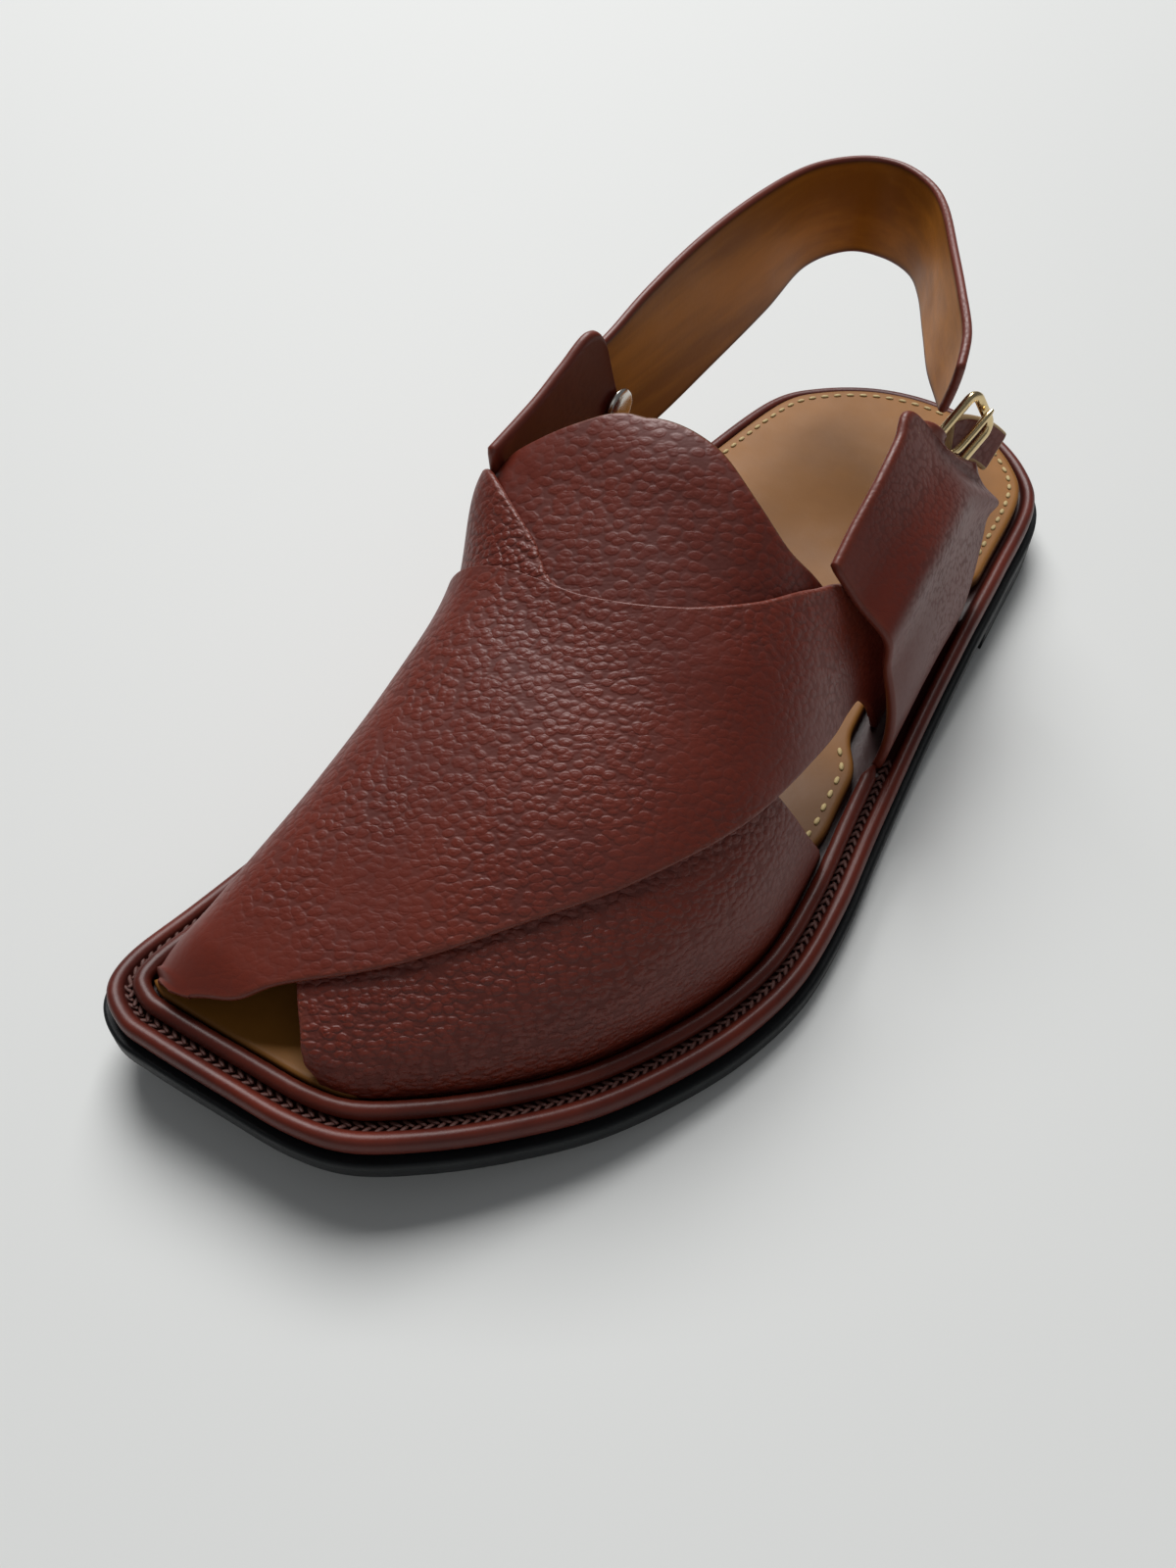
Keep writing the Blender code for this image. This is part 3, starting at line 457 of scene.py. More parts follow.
def makePiece(name, points, faces, materials, slots=None, marks=None):
    mesh = bpy.data.meshes.new(name)
    mesh.from_pydata([tuple(p) for p in points], [], faces)
    for material in materials:
        mesh.materials.append(finishes[material])
    if slots:
        mesh.polygons.foreach_set("material_index", slots)
    mesh.polygons.foreach_set("use_smooth", [True] * len(mesh.polygons))
    for key, values in (marks or {}).items():
        mesh.attributes.new(key, "FLOAT", "POINT").data.foreach_set("value", np.asarray(values, float))
    mesh.update()
    return stand(name, mesh)


def settle(piece, nodes):
    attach(piece, "root")
    for node in nodes:
        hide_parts(node)
    return piece


def borderOut(grid):
    # Direction out of the patch at each border point, within the surface
    outs = np.zeros_like(grid)
    outs[0] += grid[0] - grid[1]
    outs[-1] += grid[-1] - grid[-2]
    outs[:, 0] += grid[:, 0] - grid[:, 1]
    outs[:, -1] += grid[:, -1] - grid[:, -2]
    length = np.linalg.norm(outs, axis=-1, keepdims=True)
    return outs / np.maximum(length, 1e-9)


def gridNormals(grid):
    along = np.gradient(grid, axis=0)
    across = np.gradient(grid, axis=1)
    normal = np.cross(along, across)
    return normal / np.maximum(np.linalg.norm(normal, axis=-1, keepdims=True), 1e-12)


# Cut edge of a leather: how far it bulges as a share of its thickness, and how far the burnish reaches
cutEdge = {"bulge": 0.38, "burnish": 0.0016}


def hide(name, outerGrid, innerGrid, materials):
    # A piece of leather: a worn outer face, a lined inner face and a rounded cut edge between them
    rows, columns = outerGrid.shape[:2]
    facing = np.sum(gridNormals(outerGrid) * (outerGrid - innerGrid), axis=-1).mean() > 0
    border = ([(0, j) for j in range(columns)] + [(i, columns - 1) for i in range(1, rows)]
              + [(rows - 1, j) for j in range(columns - 2, -1, -1)]
              + [(i, 0) for i in range(rows - 2, 0, -1)])
    index = np.arange(rows * columns).reshape(rows, columns)
    count = rows * columns
    thick = np.linalg.norm(outerGrid - innerGrid, axis=-1, keepdims=True)
    push = borderOut(outerGrid) * thick * cutEdge["bulge"]
    points = [outerGrid.reshape(-1, 3), innerGrid.reshape(-1, 3)]
    rims = []
    for blend, out in ((0.10, 0.55), (0.30, 0.93), (0.5, 1.0), (0.70, 0.93), (0.90, 0.55)):
        ring = [outerGrid[b] * (1 - blend) + innerGrid[b] * blend + push[b] * out for b in border]
        rims.append(np.array(ring))
    points += rims
    faces, slots = [], []

    def quad(a, b, c, d, slot):
        faces.append((a, b, c, d) if facing else (d, c, b, a))
        slots.append(slot)

    for i in range(rows - 1):
        for j in range(columns - 1):
            a, b, c, d = index[i, j], index[i + 1, j], index[i + 1, j + 1], index[i, j + 1]
            quad(a, b, c, d, 0)
            quad(count + d, count + c, count + b, count + a, 1)
    rimCount = len(border)
    chain = [[index[b] for b in border]]
    chain += [[2 * count + k * rimCount + n for n in range(rimCount)] for k in range(len(rims))]
    chain += [[count + index[b] for b in border]]
    for near, far in zip(chain, chain[1:]):
        for n in range(rimCount):
            m = (n + 1) % rimCount
            quad(near[n], near[m], far[m], far[n], 2)
    faces = [tuple(int(v) for v in f) for f in faces]
    lengthAlong = np.cumsum(np.linalg.norm(np.diff(outerGrid, axis=0), axis=-1), axis=0)
    lengthAcross = np.cumsum(np.linalg.norm(np.diff(outerGrid, axis=1), axis=-1), axis=1)
    fromStart = np.vstack([np.zeros((1, columns)), lengthAlong])
    fromSide = np.hstack([np.zeros((rows, 1)), lengthAcross])
    nearest = np.minimum(np.minimum(fromStart, fromStart[-1] - fromStart),
                         np.minimum(fromSide, fromSide[:, -1:] - fromSide))
    edge = np.clip(1 - nearest / cutEdge["burnish"], 0, 1) ** 2
    marks = {"edge": np.concatenate([edge.ravel(), edge.ravel(), np.ones(rimCount * len(rims))])}
    return makePiece(name, np.concatenate(points), faces, materials, slots, marks)


def soften(grid, troughs):
    # Listed troughs and ridges, each a soft line between two places on the last
    normal = gridNormals(grid)
    if normal[..., 2].mean() < 0:
        normal = -normal
    push = np.zeros(grid.shape[:2])
    for share0, turn0, share1, turn1, deep, wide in troughs:
        ends = lastPoint([share0, share1], [turn0, turn1])
        line = ends[1] - ends[0]
        along = np.clip(((grid - ends[0]) @ line) / (line @ line), -0.15, 1.15)
        away = np.linalg.norm(grid - ends[0] - along[..., None] * line, axis=-1)
        fade = eased((along + 0.15) / 0.3) * eased((1.15 - along) / 0.3)
        push += deep * np.exp(-(away / wide) ** 2) * fade
    return grid + normal * push[..., None]


# Crossed bands: front edge, front turn, rear edge, rear turn, lift
overBand = {
    "rows": [(0.9625, 0.620, 0.9600, 1.00, 1.0), (0.9580, 0.500, 0.945, 1.00, 1.0),
             (0.947, 0.446, 0.905, 1.00, 1.0), (0.922, 0.424, 0.840, 1.00, 1.0),
             (0.875, 0.363, 0.77, 1.00, 1.0), (0.814, 0.318, 0.70, 1.00, 1.0),
             (0.760, 0.275, 0.635, 1.00, 1.0), (0.725, 0.252, 0.632, 0.86, 1.0),
             (0.692, 0.230, 0.630, 0.73, 1.0), (0.658, 0.208, 0.627, 0.61, 1.0),
             (0.625, 0.187, 0.620, 0.49, 1.0), (0.590, 0.165, 0.592, 0.385, 0.9),
             (0.540, 0.130, 0.548, 0.300, 0.2), (0.500, 0.105, 0.500, 0.240, -1.0),
             (0.465, 0.080, 0.450, 0.195, -1.8), (0.440, 0.040, 0.405, 0.110, -1.4),
             (0.428, 0.000, 0.378, 0.000, -0.6)],
    "along": 200, "across": 110, "droop": 0.0038, "droopFrom": 0.925, "droopTo": 0.970,
    "troughs": [(0.86, 0.40, 0.70, 0.62, -0.0006, 0.012), (0.70, 0.30, 0.64, 0.52, -0.0005, 0.010),
                (0.66, 0.22, 0.60, 0.34, 0.0006, 0.008), (0.78, 0.34, 0.66, 0.34, 0.0004, 0.012)],
}
underBand = {
    "rows": [(0.944, 0.00, 0.570, 0.000), (0.944, 0.08, 0.593, 0.050), (0.944, 0.17, 0.611, 0.105),
             (0.937, 0.29, 0.627, 0.190), (0.915, 0.41, 0.637, 0.290), (0.870, 0.53, 0.635, 0.400),
             (0.820, 0.64, 0.623, 0.500), (0.775, 0.74, 0.600, 0.535), (0.740, 0.82, 0.578, 0.600),
             (0.710, 0.90, 0.565, 0.680), (0.692, 0.96, 0.562, 0.810), (0.680, 1.00, 0.562, 1.000)],
    "along": 150, "across": 130,
    "troughs": [(0.93, 0.10, 0.86, 0.30, -0.0005, 0.010), (0.80, 0.06, 0.74, 0.22, 0.0005, 0.010)],
}
throatFlap = {
    "rows": [(0.560, 0.14, 0.462, 0.195, 6.2), (0.610, 0.19, 0.478, 0.235, 4.6),
             (0.650, 0.25, 0.496, 0.285, 2.4), (0.680, 0.33, 0.497, 0.345, 1.0),
             (0.690, 0.42, 0.489, 0.415, 1.0), (0.690, 0.50, 0.497, 0.490, 1.0),
             (0.680, 0.57, 0.523, 0.550, 1.0), (0.665, 0.63, 0.543, 0.610, 1.0),
             (0.645, 0.69, 0.553, 0.680, 1.0)],
    "along": 110, "across": 90,
    "troughs": [(0.60, 0.30, 0.52, 0.42, -0.0006, 0.008), (0.56, 0.55, 0.50, 0.55, 0.0004, 0.008)],
}


def bandGrids(settings, inner, outer):
    rows = [row if len(row) == 5 else (*row, 1.0) for row in settings["rows"]]
    rows = openSpline(rows, settings["along"])
    t = np.linspace(0.0, 1.0, settings["across"])[None, :]
    front, frontTurn, rear, rearTurn, lift = [rows[:, k][:, None] for k in range(5)]
    share = front + (rear - front) * t
    turn = np.clip(frontTurn + (rearTurn - frontTurn) * t, 0.0, 1.0)
    normal = lastNormal(np.minimum(share, shoe["normalTo"]), turn)
    base = lastPoint(share, turn)
    if "droop" in settings:
        lean = eased((share - settings["droopFrom"]) / (settings["droopTo"] - settings["droopFrom"]))
        base[..., 2] -= settings["droop"] * lean * np.sin(math.pi * turn)
    flat = (np.minimum(turn, 1 - turn) < 0.02)[..., None]
    level = np.stack([np.where(turn < 0.5, 1.0, -1.0), np.zeros_like(turn), np.zeros_like(turn)], axis=-1)
    normal = np.where(flat, level, normal)
    lift = np.broadcast_to(lift, share.shape)
    outerGrid = soften(base + normal * outer(lift)[..., None], settings["troughs"])
    innerGrid = outerGrid - normal * (outer(lift) - inner(lift))[..., None]
    return outerGrid, innerGrid


bandRest = 0.00045
over = bandGrids(overBand, lambda lift: lift * shoe["bandLift"] + bandRest * (lift > 0.8),
                 lambda lift: lift * shoe["bandLift"] + shoe["leather"])
settle(hide("bandOver", *over, ["band", "backing", "band"]), ["upper"])
under = bandGrids(underBand, lambda lift: lift * 0.0, lambda lift: lift * 0 + shoe["leather"])
settle(hide("bandUnder", *under, ["lowBand", "backing", "lowBand"]), ["upper"])
flap = bandGrids(throatFlap, lambda lift: -lift * shoe["flapGap"] - shoe["flapLeather"],
                 lambda lift: -lift * shoe["flapGap"])
settle(hide("throatFlap", *flap, ["flap", "lining", "lining"]), ["tongue"])
print("bands and flap made")

# Ears: foot along, then along, out and up of the middle and the top
outerEar = {
    "rows": [(0.462, 0.452, 0.342, 0.40, 0.468, 0.194, 0.747),
             (0.425, 0.418, 0.335, 0.43, 0.435, 0.181, 0.788),
             (0.385, 0.375, 0.322, 0.45, 0.392, 0.168, 0.835),
             (0.348, 0.330, 0.308, 0.45, 0.352, 0.150, 0.868),
             (0.318, 0.285, 0.293, 0.43, 0.322, 0.132, 0.885),
             (0.300, 0.248, 0.278, 0.40, 0.290, 0.190, 0.740),
             (0.290, 0.228, 0.270, 0.38, 0.252, 0.232, 0.615)],
    "along": 110, "up": 70, "ridge": 0.0034, "ridgeAt": 0.72, "ridgeWide": 0.10,
}
innerEar = {
    "rows": [(0.554, 0.554, -0.447, 0.52, 0.560, -0.454, 0.900),
             (0.525, 0.520, -0.447, 0.55, 0.512, -0.450, 0.948),
             (0.505, 0.490, -0.447, 0.57, 0.478, -0.450, 0.990),
             (0.465, 0.448, -0.447, 0.57, 0.443, -0.450, 1.028),
             (0.425, 0.408, -0.447, 0.54, 0.422, -0.446, 0.960),
             (0.400, 0.380, -0.444, 0.48, 0.404, -0.440, 0.740)],
    "along": 90, "up": 70, "ridge": 0.0, "ridgeAt": 0.7, "ridgeWide": 0.1,
}


def earGrids(settings, outer):
    rows = []
    for foot, alongMid, outMid, upMid, alongTop, outTop, upTop in settings["rows"]:
        y = shoe["length"] / 2 - foot * shoe["length"]
        footX = float(earEdges.at(y)[0 if outer else 1])
        rows.append([footX, y, rise(y) + footHeight, *place(alongMid, outMid), upMid * shoe["instep"],
                     *place(alongTop, outTop), upTop * shoe["instep"]])
    eased3 = openSpline(rows, settings["along"])
    t = np.linspace(0.0, 1.0, settings["up"])[None, :, None]
    foot, mid, top = eased3[:, None, 0:3], eased3[:, None, 3:6], eased3[:, None, 6:9]
    grid = foot * (1 - t) * (1 - 2 * t) + mid * 4 * t * (1 - t) + top * t * (2 * t - 1)
    normal = gridNormals(grid)
    if (normal[..., 0].mean() > 0) != outer:
        normal = -normal
    bulge = settings["ridge"] * np.exp(-((t[..., 0] - settings["ridgeAt"]) / settings["ridgeWide"]) ** 2)
    grid = grid + normal * bulge[..., None]
    return grid, grid - normal * shoe["earLeather"]


ear = hide("earOuter", *earGrids(outerEar, True), ["ear", "ear", "ear"])
settle(ear, ["ear_outer"])
ear = hide("earInner", *earGrids(innerEar, False), ["ear", "ear", "ear"])
settle(ear, ["ear_inner"])
print("ears made")

# Heel strap: along, out, low edge, high edge, lean of the top
heelStrap = {
    "rows": [(0.450, -0.4640, 0.585, 0.935, 0.0), (0.405, -0.4640, 0.580, 0.950, 0.0),
             (0.343, -0.4640, 0.582, 0.985, 0.0025), (0.257, -0.4670, 0.625, 1.010, 0.0045),
             (0.165, -0.4680, 0.665, 1.016, 0.0045), (0.086, -0.4690, 0.690, 1.002, 0.0015),
             (0.041, -0.4070, 0.706, 1.000, 0.0), (0.029, -0.3190, 0.706, 1.000, 0.0),
             (0.0446, -0.2210, 0.712, 1.000, 0.0), (0.079, -0.1420, 0.720, 1.000, 0.0010),
             (0.144, -0.0400, 0.735, 1.000, 0.0020), (0.199, 0.0440, 0.755, 0.995, 0.0030),
             (0.240, 0.1110, 0.780, 0.975, 0.0030), (0.272, 0.1500, 0.812, 0.945, 0.0015)],
    "along": 200, "across": 36,
}


def strapGrids(settings):
    rows = openSpline(settings["rows"], settings["along"])
    plan = np.array([place(along, out) for along, out in rows[:, :2]])
    ahead = np.gradient(plan, axis=0)
    away = np.column_stack([-ahead[:, 1], ahead[:, 0], np.zeros(len(plan))])
    away /= np.linalg.norm(away, axis=1)[:, None]
    middle = np.column_stack([plan, (rows[:, 2] + rows[:, 3]) / 2 * shoe["instep"]])
    half = away * rows[:, 4:5] / 2 + np.outer((rows[:, 3] - rows[:, 2]) / 2 * shoe["instep"], (0, 0, 1))
    t = np.linspace(-1.0, 1.0, settings["across"])
    grid = middle[:, None] + half[:, None] * t[None, :, None]
    crown = away[:, None] * ((1 - t ** 2) * 0.0003)[None, :, None]
    return (grid + away[:, None] * shoe["strapLeather"] / 2 + crown,
            grid - away[:, None] * shoe["strapLeather"] / 2 + crown)


strap = hide("heelStrap", *strapGrids(heelStrap), ["strap", "lining", "strap"])
settle(strap, ["heel_strap"])
print("strap made")


# Faces between rings of equal size, and over both ends where asked
def ringFaces(count, size, ends=False, closed=False, turned=False):
    faces = []
    for k in range(count if closed else count - 1):
        a, b = k * size, (k + 1) % count * size
        for n in range(size):
            m = (n + 1) % size
            faces.append((a + n, b + n, b + m, a + m) if turned else (a + n, a + m, b + m, b + n))
    if ends:
        near, far = tuple(range(size)), tuple(range((count - 1) * size, count * size))
        faces += [near, far[::-1]] if turned else [near[::-1], far]
    return faces


# Sole: rings of one outline, each with its height, closed by rings that shrink to a spine
spine = {"margin": 0.030, "turns": 12}


def capRings(loop, height):
    low, high = loop[:, 1].min(), loop[:, 1].max()
    edges = EdgeTable(loop)
    spineY = np.clip(loop[:, 1], low + spine["margin"], high - spine["margin"])
    outer, inner = edges.at(spineY)
    middle = np.column_stack([(outer + inner) / 2, spineY])
    turns = spine["turns"]
    return [(middle + (loop - middle) * (1 - k / turns), height) for k in range(1, turns + 1)]


def soleBoard(name, rings, materials, marks):
    size = len(rings[0][0])
    low, high = capRings(*rings[0])[::-1], capRings(*rings[-1])
    levels = low + rings + high
    marks = [0.0] * len(low) + marks + [0.0] * len(high)
    points = [np.column_stack([loop, height + rise(loop[:, 1])]) for loop, height in levels]
    piece = makePiece(name, np.concatenate(points), ringFaces(len(levels), size, turned=True), materials,
                      marks={"edge": np.repeat(marks, size)})
    clean(piece)
    return piece


def clean(piece):
    work = bmesh.new()
    work.from_mesh(piece.data)
    bmesh.ops.remove_doubles(work, verts=work.verts[:], dist=1e-6)
    bmesh.ops.recalc_face_normals(work, faces=work.faces[:])
    work.to_mesh(piece.data)
    work.free()


def outsoleRings():
    ledge, thick = -shoe["ledge"], shoe["outsole"]
    rows = [(0.0009, 0.0), (0.0004, 0.00025), (0.0001, 0.0007), (0.0, 0.0012), (0.0, thick - 0.0010),
            (0.0001, thick - 0.0005), (0.0004, thick - 0.00015), (0.0008, thick)]
    rings = [(inset(weltLoop, ledge + depth), height) for depth, height in rows]
    return rings + [(inset(weltLoop, 0.0016), thick)]


outsole = soleBoard("outsoleBoard", outsoleRings(), ["rubber"], [0.0] * 9)
settle(outsole, ["outsole"])


def heelPlan(amount):
    ledge = inset(weltLoop, -shoe["ledge"] + amount)
    reach = shoe["length"] / 2 - shoe["breast"] * shoe["length"] + amount
    isOuter, _ = sides(ledge)
    behind = ledge[:, 1] > reach
    frontHalf = ledge[isOuter & behind]
    backHalf = ledge[~isOuter & behind]
    outerX, innerX = EdgeTable(ledge).at(reach)
    t = np.linspace(0.0, 1.0, 60)
    breastY = reach + shoe["breastHollow"] * np.sin(math.pi * t)
    breast = np.column_stack([outerX + (innerX - outerX) * t, breastY])
    return spacedLoop(np.vstack([frontHalf, breast, backHalf]), 520)


def flatBoard(name, rings, material):
    size = len(rings[0][0])
    points = [np.column_stack([loop, np.full(size, height)]) for loop, height in rings]
    faces = ringFaces(len(rings), size, ends=True, turned=True)
    piece = makePiece(name, np.concatenate(points), faces, [material],
                      marks={"edge": np.zeros(size * len(rings))})
    clean(piece)
    for face in piece.data.polygons:
        if len(face.vertices) > 4:
            face.use_smooth = False
    return piece


heelTop = shoe["heelLift"] - shoe["gap"]
heel = flatBoard("heelBlock", [(heelPlan(0.0009), 0.0), (heelPlan(0.0003), 0.0003), (heelPlan(0.0), 0.0009),
                               (heelPlan(0.0), heelTop - 0.0007), (heelPlan(0.0003), heelTop - 0.0002),
                               (heelPlan(0.0007), heelTop)], "rubber")
settle(heel, ["heel"])


def weltRings():
    base = shoe["outsole"] + shoe["gap"]
    top = base + shoe["welt"]
    shelf = top - shoe["groove"]
    rim = shoe["rim"]
    rows = [(0.0014, base), (0.0012, base + 0.0004), (0.0005, base + 0.0008), (0.0001, base + 0.0015),
            (0.0, base + 0.0022), (0.0, top - 0.0022), (0.0002, top - 0.0012), (0.0006, top - 0.0005),
            (0.0012, top - 0.0001), (0.0018, top), (rim - 0.0012, top), (rim - 0.0006, top - 0.0002),
            (rim - 0.0001, top - 0.0006), (rim + 0.0002, top - 0.0011), (rim + 0.0004, shelf + 0.0003),
            (rim + 0.0009, shelf), (0.0100, shelf), (0.0200, shelf)]
    # Painted shade: these marks lay the trim's dark edge colour where the welt turns under against the
    # outsole and down its groove beside the piping
    marks = [1.0, 1.0, 0.8, 0.2, 0, 0, 0, 0, 0, 0, 0, 0.1, 0.5, 0.9, 1.0, 1.0, 1.0, 1.0]
    return [(inset(weltLoop, depth), height) for depth, height in rows], marks


weltRows, weltShadeMarks = weltRings()
welt = soleBoard("weltBoard", weltRows, ["trim"], weltShadeMarks)
settle(welt, ["welt"])

# Insole: share from the heel and distance from the welt's edge, on each side
insoleOuter = [(0.00, 0.0050), (0.238, 0.0050), (0.262, 0.0090), (0.342, 0.0090), (0.362, 0.0152),
               (0.452, 0.0152), (0.474, 0.0104), (0.550, 0.0104), (0.572, 0.0124), (0.880, 0.0124),
               (0.920, 0.0132), (0.952, 0.0132), (0.966, 0.0095), (1.00, 0.0095)]
insoleInner = [(0.00, 0.0050), (0.35, 0.0050), (0.385, 0.0090), (0.500, 0.0090), (0.520, 0.0140),
               (0.962, 0.0140), (0.974, 0.0095), (1.00, 0.0095)]


def insoleRings():
    edge = variedInset(weltLoop, insoleOuter, insoleInner)
    base = shelfHeight + shoe["gap"]
    top = base + shoe["insole"]
    rows = [(0.0001, top - 0.0006), (0.0004, top - 0.0002), (0.0009, top), (0.0016, top)]
    return [(edge, base), (edge, top - 0.0012)] + [(inset(edge, depth), height) for depth, height in rows]


insole = soleBoard("insoleBoard", insoleRings(), ["insole"], [1.0, 0.9, 0.7, 0.45, 0.2, 0.0])
settle(insole, ["insole"])
print("sole boards made")


piping = {"start": 0.468, "end": 0.606, "round": 24}


# The points of a loop ahead of one share on the outer side and another on the inner side
def aheadOf(loop, outerFrom, innerFrom):
    isOuter, share = sides(loop)
    return np.where(isOuter, share >= outerFrom, share >= innerFrom)


def tube(name, centres, ringAt, material, closed=False):
    size = len(ringAt(0))
    points = np.concatenate([ringAt(k) for k in range(len(centres))])
    faces = ringFaces(len(centres), size, ends=not closed, closed=closed)
    piece = makePiece(name, points, faces, [material], marks={"edge": np.zeros(len(points))})
    clean(piece)
    return piece


def makePiping():
    flat = inset(weltLoop, pipingInset)
    flat = flat[aheadOf(flat, piping["start"], piping["end"])]
    z = rise(flat[:, 1]) + shelfHeight + shoe["gap"] + shoe["pipingHigh"] / 2
    centres = np.column_stack([flat, z])
    ahead = np.gradient(centres, axis=0)
    out = np.column_stack([-ahead[:, 1], ahead[:, 0], np.zeros(len(ahead))])
    out /= np.linalg.norm(out, axis=1)[:, None]
    angles = np.linspace(0, 2 * math.pi, piping["round"], endpoint=False)

    def ringAt(k):
        wrinkle = 1 + 0.012 * math.sin(k * 1.7) + 0.01 * math.sin(k * 0.61)
        taper = min(1.0, 0.3 + min(k, len(centres) - 1 - k) / 6)
        across = np.cos(angles) * shoe["pipingWide"] / 2 * wrinkle * taper
        up = np.sin(angles) * shoe["pipingHigh"] / 2 * wrinkle * taper
        return centres[k] + out[k] * across[:, None] + np.outer(up, (0, 0, 1))

    return tube("pipingBead", centres, ringAt, "piping")


bead = makePiping()
settle(bead, ["piping"])
print("piping made")

# Buckle: place, directions and sizes
buckle = {
    "long": 0.0170, "high": 0.0125, "middle": (0.0200, 0.0729, 0.0596), "along": (0.16, 0.86, 0.48),
    "face": (0.93, -0.16, 0.30), "wire": 0.0024, "wide": 1.02, "deep": 0.8, "bend": 1.2, "prong": 0.0016,
    "prongRows": [(-0.72, 0.1), (-0.62, 0.55), (-0.4, 0.9), (0.2, 1.0), (0.8, 1.0), (1.06, 1.0)],
    "prongSteps": 40, "sides": 16, "square": 0.75,
}


def buckleAxes():
    along = np.array(buckle["along"])
    along /= np.linalg.norm(along)
    up = np.cross(buckle["face"], along)
    up /= np.linalg.norm(up)
    return np.array(buckle["middle"]), along, up, np.cross(along, up)


def barRing(centres, k, wide, deep, face, closed):
    count = len(centres)
    if closed:
        ahead = centres[(k + 1) % count] - centres[k - 1]
    else:
        ahead = centres[min(k + 1, count - 1)] - centres[max(k - 1, 0)]
    ahead = ahead / np.linalg.norm(ahead)
    first = np.cross(ahead, face)
    first /= np.linalg.norm(first)
    second = np.cross(ahead, first)
    angles = np.linspace(0, 2 * math.pi, buckle["sides"], endpoint=False)
    across, up = [np.sign(v) * np.abs(v) ** buckle["square"] for v in (np.cos(angles), np.sin(angles))]
    return centres[k] + np.outer(across * wide / 2, first) + np.outer(up * deep / 2, second)


def makeBuckle():
    middle, along, up, face = buckleAxes()
    corner = buckle["wire"] * buckle["bend"]
    path = []
    for sideAlong, sideUp, start in ((1, -1, 270), (1, 1, 0), (-1, 1, 90), (-1, -1, 180)):
        centre = (middle + along * sideAlong * (buckle["long"] / 2 - corner)
                  + up * sideUp * (buckle["high"] / 2 - corner))
        for turn in np.linspace(0, 90, 9):
            angle = math.radians(start + turn)
            path.append(centre + (along * math.cos(angle) + up * math.sin(angle)) * corner)
    path = np.array(path)
    wide, deep = buckle["wire"] * buckle["wide"], buckle["wire"] * buckle["deep"]
    bar = tube("buckleFrame", path, lambda k: barRing(path, k, wide, deep, face, True), "brass", closed=True)
    settle(bar, ["buckle_frame"])
    clear = (buckle["wire"] + buckle["prong"]) / 2 + shoe["gap"]
    half = buckle["long"] / 2
    rows = openSpline(buckle["prongRows"], buckle["prongSteps"])
    tongue = np.array([middle + along * a * half + face * o * clear for a, o in rows])

    def prongRing(k):
        slim = buckle["prong"] * (1.0 - 0.45 * eased((k / (buckle["prongSteps"] - 1) - 0.8) / 0.2))
        return barRing(tongue, k, slim, slim, face, False)

    prong = tube("buckleProng", tongue, prongRing, "brass")
    settle(prong, ["buckle_prong"])


makeBuckle()

tail = {
    "route": [(-0.18, -0.08, -1.00), (0.12, -0.40, -1.00), (0.42, -0.96, -1.00), (0.66, -1.52, -1.00),
              (0.82, -2.08, -0.98), (0.92, -2.56, -0.94)],
    "along": 40, "across": 18,
}


def makeTail():
    middle, along, up, face = buckleAxes()
    clear = buckle["wire"] / 2 + shoe["gap"] + shoe["strapLeather"] / 2
    rows = openSpline(tail["route"], tail["along"])
    path = np.array([middle + along * a * buckle["long"] / 2 + up * u * buckle["high"] / 2 + face * o * clear
                     for a, u, o in rows])
    wide = np.cross(face, np.gradient(path, axis=0))
    wide /= np.linalg.norm(wide, axis=1)[:, None]
    halfWidth = (buckle["high"] - buckle["wire"]) / 2 - shoe["gap"] * 2
    t = np.linspace(-1, 1, tail["across"])
    grid = path[:, None] + wide[:, None] * (halfWidth * t)[None, :, None]
    half = face * shoe["strapLeather"] / 2
    return hide("strapTail", grid + half, grid - half, ["strap", "lining", "rawEdge"])


settle(makeTail(), ["strap_tail"])

# Rivet: its place, and the dome as distance out of the ear and share of the head's radius
rivet = {
    "plan": (0.412, -0.4215), "up": 0.765, "head": 0.0095, "rings": 26, "round": 48,
    "dome": [(0.0, 0.90), (0.0002, 1.0), (0.0007, 0.985), (0.0012, 0.86), (0.0016, 0.60), (0.0018, 0.30),
             (0.0019, 0.01)],
}


def makeRivet():
    middle = np.array([*place(*rivet["plan"]), rivet["up"] * shoe["instep"]])
    angles = np.linspace(0, 2 * math.pi, rivet["round"], endpoint=False)
    across, up = np.cos(angles) * rivet["head"] / 2, np.sin(angles) * rivet["head"] / 2
    rings = [middle + np.column_stack([np.full(rivet["round"], out), across * wide, up * wide])
             for out, wide in openSpline(rivet["dome"], rivet["rings"])]
    return tube("rivetCap", rings, lambda k: rings[k], "nickel")


settle(makeRivet(), ["rivet"])
print("buckle, tail and rivet made")


# Stitches: Geometry Nodes lay one stitch at every step of a path
stitchRings, stitchRound = 7, 8


def stitchMesh(name, size, tilt, material):
    points = []
    for k in range(stitchRings):
        t = k / (stitchRings - 1)
        fat = math.sin(math.pi * (0.08 + 0.84 * t)) ** 0.5
        for n in range(stitchRound):
            a = 2 * math.pi * n / stitchRound
            x = (t - 0.5) * size["long"]
            y = math.cos(a) * size["wide"] / 2 * fat
            z = math.sin(a) * size["high"] / 2 * fat
            points.append((x * math.cos(tilt) - y * math.sin(tilt),
                           x * math.sin(tilt) + y * math.cos(tilt), z))
    return makePiece(name, points, ringFaces(stitchRings, stitchRound, ends=True), [material])


